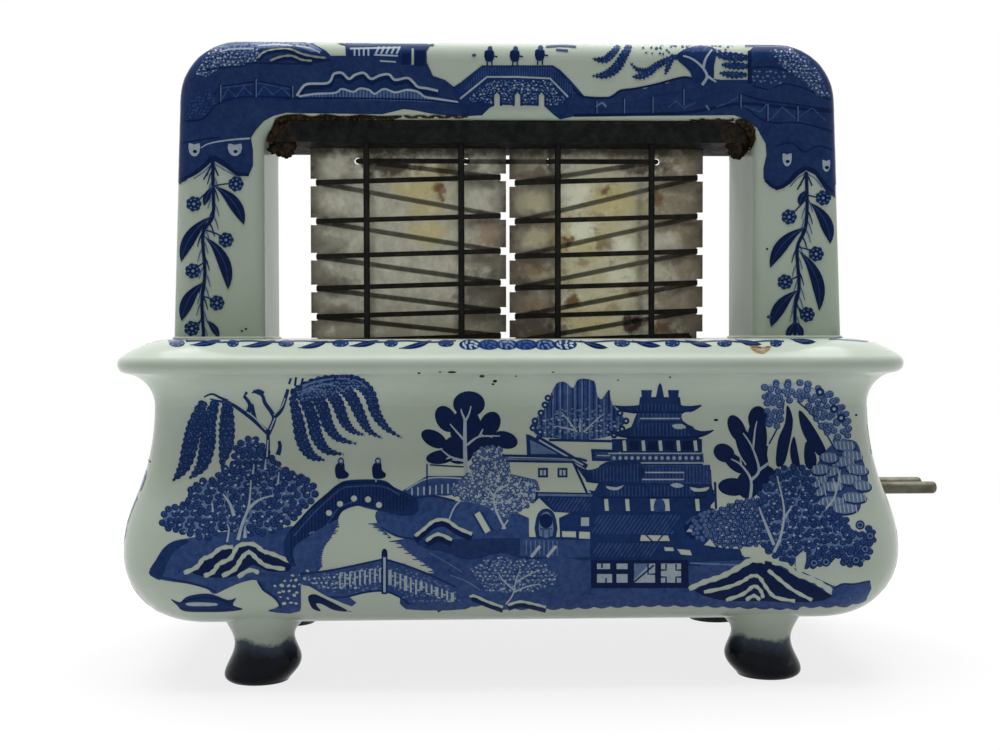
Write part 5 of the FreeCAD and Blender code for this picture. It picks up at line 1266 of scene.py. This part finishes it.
class Surface:
    """The faces of CAD nodes, to lay prints on, with their smooth normals."""

    def __init__(self, *names):
        places, faces, normals = [], [], []
        for name in names:
            mesh = nodes[name].data
            mesh.calc_loop_triangles()
            first = len(places)
            places += [vertex.co.copy() for vertex in mesh.vertices]
            for triangle in mesh.loop_triangles:
                faces.append([first + k for k in triangle.vertices])
                normals.append([mesh.corner_normals[k].vector.copy() for k in triangle.loops])
        self.places, self.faces, self.normals = places, faces, normals
        self.tree = BVHTree.FromPolygons(places, faces)

    def hit(self, start, aim):
        """Where a ray meets the surface, the normal there, and how squarely the two meet."""
        spot, _, face, _ = self.tree.ray_cast(start, aim)
        if spot is None:
            return None
        a, b, c = (self.places[k] for k in self.faces[face])
        whole = (b - a).cross(c - a)
        area = whole.dot(whole)
        u = (c - b).cross(spot - b).dot(whole) / area
        v = (a - c).cross(spot - c).dot(whole) / area
        na, nb, nc = self.normals[face]
        smooth = (na * u + nb * v + nc * (1 - u - v)).normalized()
        return spot, smooth, smooth.dot(aim)


def from_camera(x, y):
    right, up, forward = camera_axes()
    aim = forward + right * (x - IMAGE_WIDTH / 2) / FOCAL_PIXELS + up * (IMAGE_HEIGHT / 2 - y) / FOCAL_PIXELS
    return CAMERA_PLACE, aim.normalized()


def from_above(x, y):
    return Vector((x / PLAN_SCALE, y / PLAN_SCALE, RAY_START)) * MM, Vector((0, 0, -1))


def from_left(x, y):
    return Vector((-RAY_START, -x / PLAN_SCALE, -y / PLAN_SCALE)) * MM, Vector((1, 0, 0))


def from_right(x, y):
    return Vector((RAY_START, x / PLAN_SCALE, -y / PLAN_SCALE)) * MM, Vector((-1, 0, 0))


def show(piece):
    scene.collection.objects.link(piece)
    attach(piece, "root")
    return piece


def stamp(name, drawing, surface, view, inks, lift=0.06, longest=9.0, steepest=-0.05, spacing=5.0, crust=0.0,
          reach=None, hem=0.0):
    """Lays a drawing on a surface as a thin skin.

    Millimetres: lift, crust and the longest side of a triangle. Drawing units: spacing and hem.
    A spot is left out where the view grazes the surface more than steepest, or where reach says no.
    """
    corners, faces, tones = cut_drawing(drawing, spacing)
    used = np.unique(faces)
    places = np.full((len(corners), 3), np.nan)
    normals = np.zeros((len(corners), 3))
    pulled = {}
    middle = corners[used].mean(axis=0)

    def settle(corner):
        found = surface.hit(*view(*corner))
        return found if found and found[2] < steepest and (reach is None or reach(found[0] / MM)) else None

    def pull_in(corner):
        inward = (middle - corner) / np.linalg.norm(middle - corner)
        return next(filter(None, (settle(corner + inward * step) for step in np.arange(1, hem, 0.75))), None)

    found = {k: settle(corners[k]) for k in used}
    # A corner just past the surface's outline is drawn in to it, so that the skin ends at the outline
    for face in faces:
        if hem and any(found[k] for k in face):
            for k in face:
                if not found[k] and k not in pulled:
                    pulled[k] = pull_in(corners[k])
    direct = np.array([bool(found.get(k)) for k in range(len(corners))])
    for k in used:
        if found[k] or pulled.get(k):
            spot, normal, _ = found[k] or pulled[k]
            rise = lift * MM
            if crust:
                x, y = corners[k]
                rise += crust * MM * (0.5 + 0.5 * math.sin(x * 1.9 + 2.3 * math.sin(y * 1.3)))
            places[k] = spot + normal * rise
            normals[k] = normal
    sides = [np.linalg.norm(places[faces[:, k]] - places[faces[:, k - 1]], axis=1) for k in range(3)]
    good = np.flatnonzero((np.max(sides, axis=0) < longest * MM) & direct[faces].any(axis=1))
    faces, tones = faces[good], tones[good]
    # Triangles that the surface's curve has turned over are dropped
    facing = np.cross(places[faces[:, 1]] - places[faces[:, 0]], places[faces[:, 2]] - places[faces[:, 0]])
    facing = np.sum(facing * normals[faces[:, 0]], axis=1)
    backward = facing.sum() < 0
    good = (facing < 0) == backward
    faces, tones = faces[good], tones[good]
    used, slots = np.unique(faces, return_inverse=True)
    faces = slots.reshape(-1, 3)
    mesh = bpy.data.meshes.new(name)
    mesh.from_pydata(places[used].tolist(), [], faces.tolist())
    if backward:
        mesh.flip_normals()
    mesh.polygons.foreach_set("use_smooth", np.ones(len(faces), bool))
    present = sorted(set(tones.tolist()))
    mesh.polygons.foreach_set("material_index", np.array([present.index(tone) for tone in tones.tolist()], np.int32))
    for ink in present:
        mesh.materials.append(inks[ink])
    if not crust:
        mesh.normals_split_custom_set_from_vertices(normals[used].tolist())
    return show(bpy.data.objects.new(name, mesh))


def turned(piece, name):
    """The same skin on the opposite side, half a turn about the upright."""
    mesh = piece.data.copy()
    mesh.name = name
    half_turn = Matrix.Rotation(math.pi, 4, "Z")
    normals = [half_turn.to_3x3() @ corner.vector for corner in mesh.corner_normals]
    mesh.transform(half_turn)
    mesh.normals_split_custom_set(normals)
    return show(bpy.data.objects.new(name, mesh))


def make_inks():
    return {PALE: make_ink("ink_pale", (0.43, 0.5, 0.53), (0.28, 0.36, 0.45), gloss=0.2),
            LIGHT: make_ink("ink_light", (0.16, 0.235, 0.38), (0.07, 0.13, 0.28)),
            MID: make_ink("ink_mid", (0.05, 0.095, 0.25), (0.014, 0.043, 0.165), 0.65),
            DARK: make_ink("ink_dark", (0.012, 0.042, 0.155), (0.004, 0.02, 0.09)),
            DEEP: make_ink("ink_deep", (0.004, 0.018, 0.085), (0.002, 0.01, 0.055)),
            BAND: make_ink("ink_band", (0.02, 0.049, 0.152), (0.007, 0.023, 0.1), 0.6),
            SOOT: make_ink("baked_soot", (0.03, 0.023, 0.016), (0.008, 0.007, 0.005)),
            RUST: make_ink("rust_stain", (0.085, 0.05, 0.024), (0.02, 0.013, 0.008)),
            WASH: make_ink("rust_wash", (0.45, 0.36, 0.22), (0.24, 0.14, 0.05))}


# Where the prints end, in millimetres, and how far the arch's prints are drawn in at its outline
RIM_FRONT_LOW, RIM_END_LOW = 70, 60
END_FROM, END_HALF_DEPTH = 60, 38
ARCH_FRONT_DEPTH = 11.5
ARCH_END_FROM, ARCH_TOP_FROM, ARCH_HALF_DEPTH = 66, 141, 16.2
ARCH_HEM = 9


def print_porcelain():
    """Prints the base and the arch; the rear takes the front's prints, turned round."""
    inks = make_inks()
    base, arch = Surface("base_shell"), Surface("arch")
    front = stamp("front_print", Drawing(11, *LANDSCAPE), base, from_camera, inks)
    over = stamp("arch_front_print", Drawing(23, *ARCH_BAND), arch, from_camera, inks, lift=0.16, steepest=-0.3,
                 spacing=4.0, reach=lambda spot: spot.y < -ARCH_FRONT_DEPTH, hem=ARCH_HEM)
    edge = stamp("front_rim_print", Drawing(31, draw_rim), base, from_camera, inks, longest=16.0, steepest=-0.012,
                 spacing=1.6, reach=lambda spot: spot.z > RIM_FRONT_LOW)
    turned(front, "rear_print")
    turned(over, "arch_rear_print")
    turned(edge, "rear_rim_print")
    stamp("left_end_print", end_drawing(41, LEFT_END, LEFT_END_MIDDLE), base, from_left, inks,
          reach=lambda spot: spot.x < -END_FROM and abs(spot.y) < END_HALF_DEPTH)
    right = end_drawing(43, RIGHT_END, RIGHT_END_MIDDLE)
    # Room round the terminal pins
    right.disc(CLEAR, 0, -42.5 * PLAN_SCALE, 15 * PLAN_SCALE, 9 * PLAN_SCALE, 30)
    stamp("right_end_print", right, base, from_right, inks,
          reach=lambda spot: spot.x > END_FROM and abs(spot.y) < END_HALF_DEPTH)
    for side, name, view in ((-1, "left", from_left), (1, "right", from_right)):
        garland = Drawing(50 + side)
        draw_end_rim(garland, side)
        stamp(name + "_rim_print", garland, base, from_above, inks, reach=lambda spot: spot.z > RIM_END_LOW)
        climb = Drawing(60 + side)
        draw_arch_end(climb, side)
        stamp("arch_" + name + "_print", climb, arch, view, inks, lift=0.1, hem=ARCH_HEM,
              reach=lambda spot: abs(spot.x) > ARCH_END_FROM and abs(spot.y) < ARCH_HALF_DEPTH)
    stamp("arch_top_print", Drawing(71, draw_arch_top), arch, from_above, inks, hem=ARCH_HEM,
          reach=lambda spot: spot.z > ARCH_TOP_FROM and abs(spot.y) < ARCH_HALF_DEPTH)
    return inks


# Small pieces: crust patches and its lines (start, end, height) in pixels, lumps (centre, radii) in millimetres
CRUST_PATCHES = (
    [(268, 138), (272, 126), (276, 118), (288, 114), (293, 119), (287, 126), (280, 132), (275, 142)],
    [(277, 148), (286, 150), (296, 151), (303, 156), (296, 162), (284, 163), (276, 158)],
    [(286, 115), (300, 113.5), (312, 116), (326, 113.5), (344, 116), (360, 114), (380, 115.5), (402, 115),
     (392, 118.5), (372, 118), (350, 120), (332, 118.5), (312, 121), (294, 121)],
    [(735, 121), (743, 118), (752, 124), (756, 134), (754, 146), (746, 156), (737, 161), (727, 158), (738, 150),
     (745, 142), (746, 132)])
CRUST_LINES = ((404, 470, 116), (583, 690, 122.5), (690, 735, 119.5))
CRUST_LUMPS = (("left", (-58.0, -12.4, 131.2), (3.2, 1.0, 2.4)), ("right", (59.2, -12.4, 131.8), (2.8, 1.0, 3.0)))
CRUST_FRONT_DEPTH = 8


def draw_crust(g):
    for points in CRUST_PATCHES:
        g.area(SOOT, points, 3)
        g.stipple(spline(points, True, 3), 5.0, 2.2, RUST)
    for start, end, level in CRUST_LINES:
        g.line(RUST, 1.9, [(x, level + 0.9 * math.sin(x * 0.4)) for x in range(start, end, 4)], smooth=0, teeth=0.4)


def make_crust(inks):
    """Rust and baked dirt that bridge the rail's ends and the porcelain."""
    stamp("rail_crust", Drawing(83, draw_crust), Surface("arch", "upper_rail"), from_camera, inks, lift=0.2,
          longest=3.2, steepest=0.0, spacing=2.0, crust=0.3, reach=lambda spot: spot.y < -CRUST_FRONT_DEPTH)
    for name, centre, radii in CRUST_LUMPS:
        mesh = bpy.data.meshes.new("rail_crust_" + name)
        shape = bmesh.new()
        bmesh.ops.create_icosphere(shape, subdivisions=5, radius=1.0)
        for vertex in shape.verts:
            spot = Vector(radius * along for radius, along in zip(radii, vertex.co))
            swell = 1 + 0.45 * field.fractal(spot * 0.55 + Vector(centre), 0.9, 2.1, 5)
            vertex.co = (Vector(centre) + spot * swell) * MM
        for face in shape.faces:
            face.smooth = True
            face.material_index = int(field.noise(face.calc_center_median() / MM * 0.9) > 0.12)
        shape.to_mesh(mesh)
        shape.free()
        mesh.materials.append(inks[SOOT])
        mesh.materials.append(inks[RUST])
        show(bpy.data.objects.new("rail_crust_" + name, mesh))


# The bead of slip: the leg's inner face, the rounding of its outer and inner corners, and the bead's own size
LEG_INNER = 0.0625
LEG_OUTER_ROUND, LEG_INNER_ROUND = 0.0048, 0.003
LEG_INNER_SET_IN = LEG_OUTER_ROUND * 0.6
BEAD_RADIUS = 0.0006
BEAD_RISE = 0.0001
BEAD_STEPS = (0, 22.5, 45, 67.5, 90)


def make_slip_beads(glaze):
    """Bead of slip where each leg of the arch stands on the deck."""
    low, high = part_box("arch")
    outer_x, outer_y = high.x - LEG_OUTER_ROUND, high.y - LEG_OUTER_ROUND
    inner_x, inner_y = LEG_INNER + LEG_INNER_ROUND, high.y - LEG_INNER_SET_IN
    loop = []
    for x, y, radius, first in ((outer_x, outer_y, LEG_OUTER_ROUND, 0), (inner_x, inner_y, LEG_INNER_ROUND, 90),
                                (inner_x, -inner_y, LEG_INNER_ROUND, 180), (outer_x, -outer_y, LEG_OUTER_ROUND, 270)):
        loop += [(x + radius * math.cos(math.radians(first + step)), y + radius * math.sin(math.radians(first + step)))
                 for step in BEAD_STEPS]
    for side, name in ((-1, "left"), (1, "right")):
        curve = bpy.data.curves.new(name + "_slip_bead", "CURVE")
        curve.dimensions = "3D"
        curve.bevel_depth = BEAD_RADIUS
        curve.bevel_resolution = 3
        path = curve.splines.new("POLY")
        path.points.add(len(loop) - 1)
        for point, (x, y) in zip(path.points, loop):
            point.co = (side * x, y, low.z + BEAD_RISE, 1)
        path.use_cyclic_u = True
        curve.materials.append(glaze)
        show(bpy.data.objects.new(name + "_slip_bead", curve))


BASE_REFRACTION, ARCH_REFRACTION = 1.5, 1.15


def dress_nodes():
    """Gives every CAD node its material, and returns the arch's glaze for the slip."""
    arch_glaze = make_glaze("porcelain_arch", False, ARCH_REFRACTION)
    scaled = make_rail_metal()
    black = make_metal("guard_wire_black", (0.008, 0.009, 0.0083), (0.021, 0.02, 0.017), 0.5, 300, 0.2, gloss=0.12)
    ribbon = make_metal("ribbon_oxidised", (0.014, 0.0145, 0.013), (0.04, 0.034, 0.025), 0.5, 260, 0.2, gloss=0.12)
    steel = make_metal("fastener_steel_dull", (0.3, 0.29, 0.27), (0.12, 0.08, 0.05), 0.4)
    plate = make_metal("plate_steel_dull", (0.24, 0.235, 0.22), (0.1, 0.065, 0.04), 0.45, 90)
    nickel = make_metal("pin_nickel_worn", (0.125, 0.12, 0.09), (0.047, 0.043, 0.028), 0.32, 150, gloss=0.25)
    brass = make_metal("brass_dull", (0.4, 0.27, 0.1), (0.16, 0.1, 0.04), 0.35)
    braid = make_braid()
    finish = {"base_shell": make_glaze("porcelain_base", True, BASE_REFRACTION), "arch": arch_glaze,
              "upper_rail": scaled, "sill": scaled, "bottom_plate": plate,
              "left_mica_card": make_mica("mica_left", -CARD_MIDDLE, LEFT_STAINS, 0.2),
              "right_mica_card": make_mica("mica_right", CARD_MIDDLE, RIGHT_STAINS, 0.6),
              "front_terminal_pin": nickel, "rear_terminal_pin": nickel,
              "terminal_washers": brass, "terminal_nuts": brass}
    kinds = {"guard_wire": black, "ribbon": ribbon, "lead_wire": braid}
    for name, item in nodes.items():
        by_kind = (material for kind, material in kinds.items() if kind in name)
        item.data.materials.clear()
        item.data.materials.append(next(by_kind, finish.get(name, steel)))
    return arch_glaze


# Stage
FLOOR_REACH = 4
FLOOR_LIT, FLOOR_SEEN = (0.68, 0.68, 0.68), (0.9, 0.9, 0.9)
# Distances from the part at which the floor starts to fade into the background, and has done so
FADE_STARTS, FADE_ENDS = 0.12, 0.45
WHITE = (1, 1, 1, 1)
AMBIENT = 0.4
FRONT_AMBIENT = 0.02
OVERHEAD_WATTS = 18
OVERHEAD_SIZE = 1.1
OVERHEAD_PLACE = (-0.05, 0.2, 1.0)


def seen_rays(tree):
    """One for rays that look at the background, straight, in gloss or through glass."""
    rays = add_node(tree, "ShaderNodeLightPath").outputs
    straight_or_gloss = calc(tree, "MAXIMUM", rays["Is Camera Ray"], rays["Is Glossy Ray"])
    return calc(tree, "MAXIMUM", straight_or_gloss, rays["Is Transmission Ray"])


def make_floor():
    """Pale floor that keeps the shadow near the part and is white further off."""
    mesh = bpy.data.meshes.new("floor")
    mesh.from_pydata([(x * FLOOR_REACH, y * FLOOR_REACH, 0) for x, y in ((-1, -1), (1, -1), (1, 1), (-1, 1))], [],
                     [(0, 1, 2, 3)])
    floor = bpy.data.objects.new("floor", mesh)
    scene.collection.objects.link(floor)
    material = bpy.data.materials.new("floor_white")
    material.use_nodes = True
    tree = material.node_tree
    tree.nodes.clear()
    seen = seen_rays(tree)
    matt = add_node(tree, "ShaderNodeBsdfDiffuse", {"Color": blend(tree, seen, FLOOR_LIT, FLOOR_SEEN)})
    bright = add_node(tree, "ShaderNodeEmission", {"Color": WHITE, "Strength": 1.0})
    far = add_node(tree, "ShaderNodeVectorMath", {"Vector": place(tree)}, operation="LENGTH").outputs["Value"]
    share = calc(tree, "MULTIPLY", seen, remap(tree, far, FADE_STARTS, FADE_ENDS, 0.8, 1.0))
    mix = add_node(tree, "ShaderNodeMixShader", {"Fac": share, 1: matt.outputs["BSDF"], 2: bright.outputs["Emission"]})
    add_node(tree, "ShaderNodeOutputMaterial", {"Surface": mix.outputs["Shader"]})
    mesh.materials.append(material)


def make_lights():
    """A white surround that lights the part mostly from behind, and one large lamp overhead."""
    world = bpy.data.worlds.new("studio")
    scene.world = world
    world.use_nodes = True
    tree = world.node_tree
    background = tree.nodes["Background"]
    background.inputs["Color"].default_value = WHITE
    aim = part_of(tree, add_node(tree, "ShaderNodeTexCoord").outputs["Generated"], "Y")
    ambient = remap(tree, aim, -1.0, 0.3, FRONT_AMBIENT, AMBIENT)
    feed(tree, background.inputs["Strength"], calc(tree, "MAXIMUM", seen_rays(tree), ambient))
    lamp = bpy.data.lights.new("overhead", "AREA")
    lamp.size = OVERHEAD_SIZE
    lamp.energy = OVERHEAD_WATTS
    holder = bpy.data.objects.new("overhead", lamp)
    holder.location = OVERHEAD_PLACE
    scene.collection.objects.link(holder)


make_camera()
arch_glaze = dress_nodes()
inks = print_porcelain()
make_crust(inks)
make_slip_beads(arch_glaze)
make_floor()
make_lights()
scene.view_settings.view_transform = "Standard"
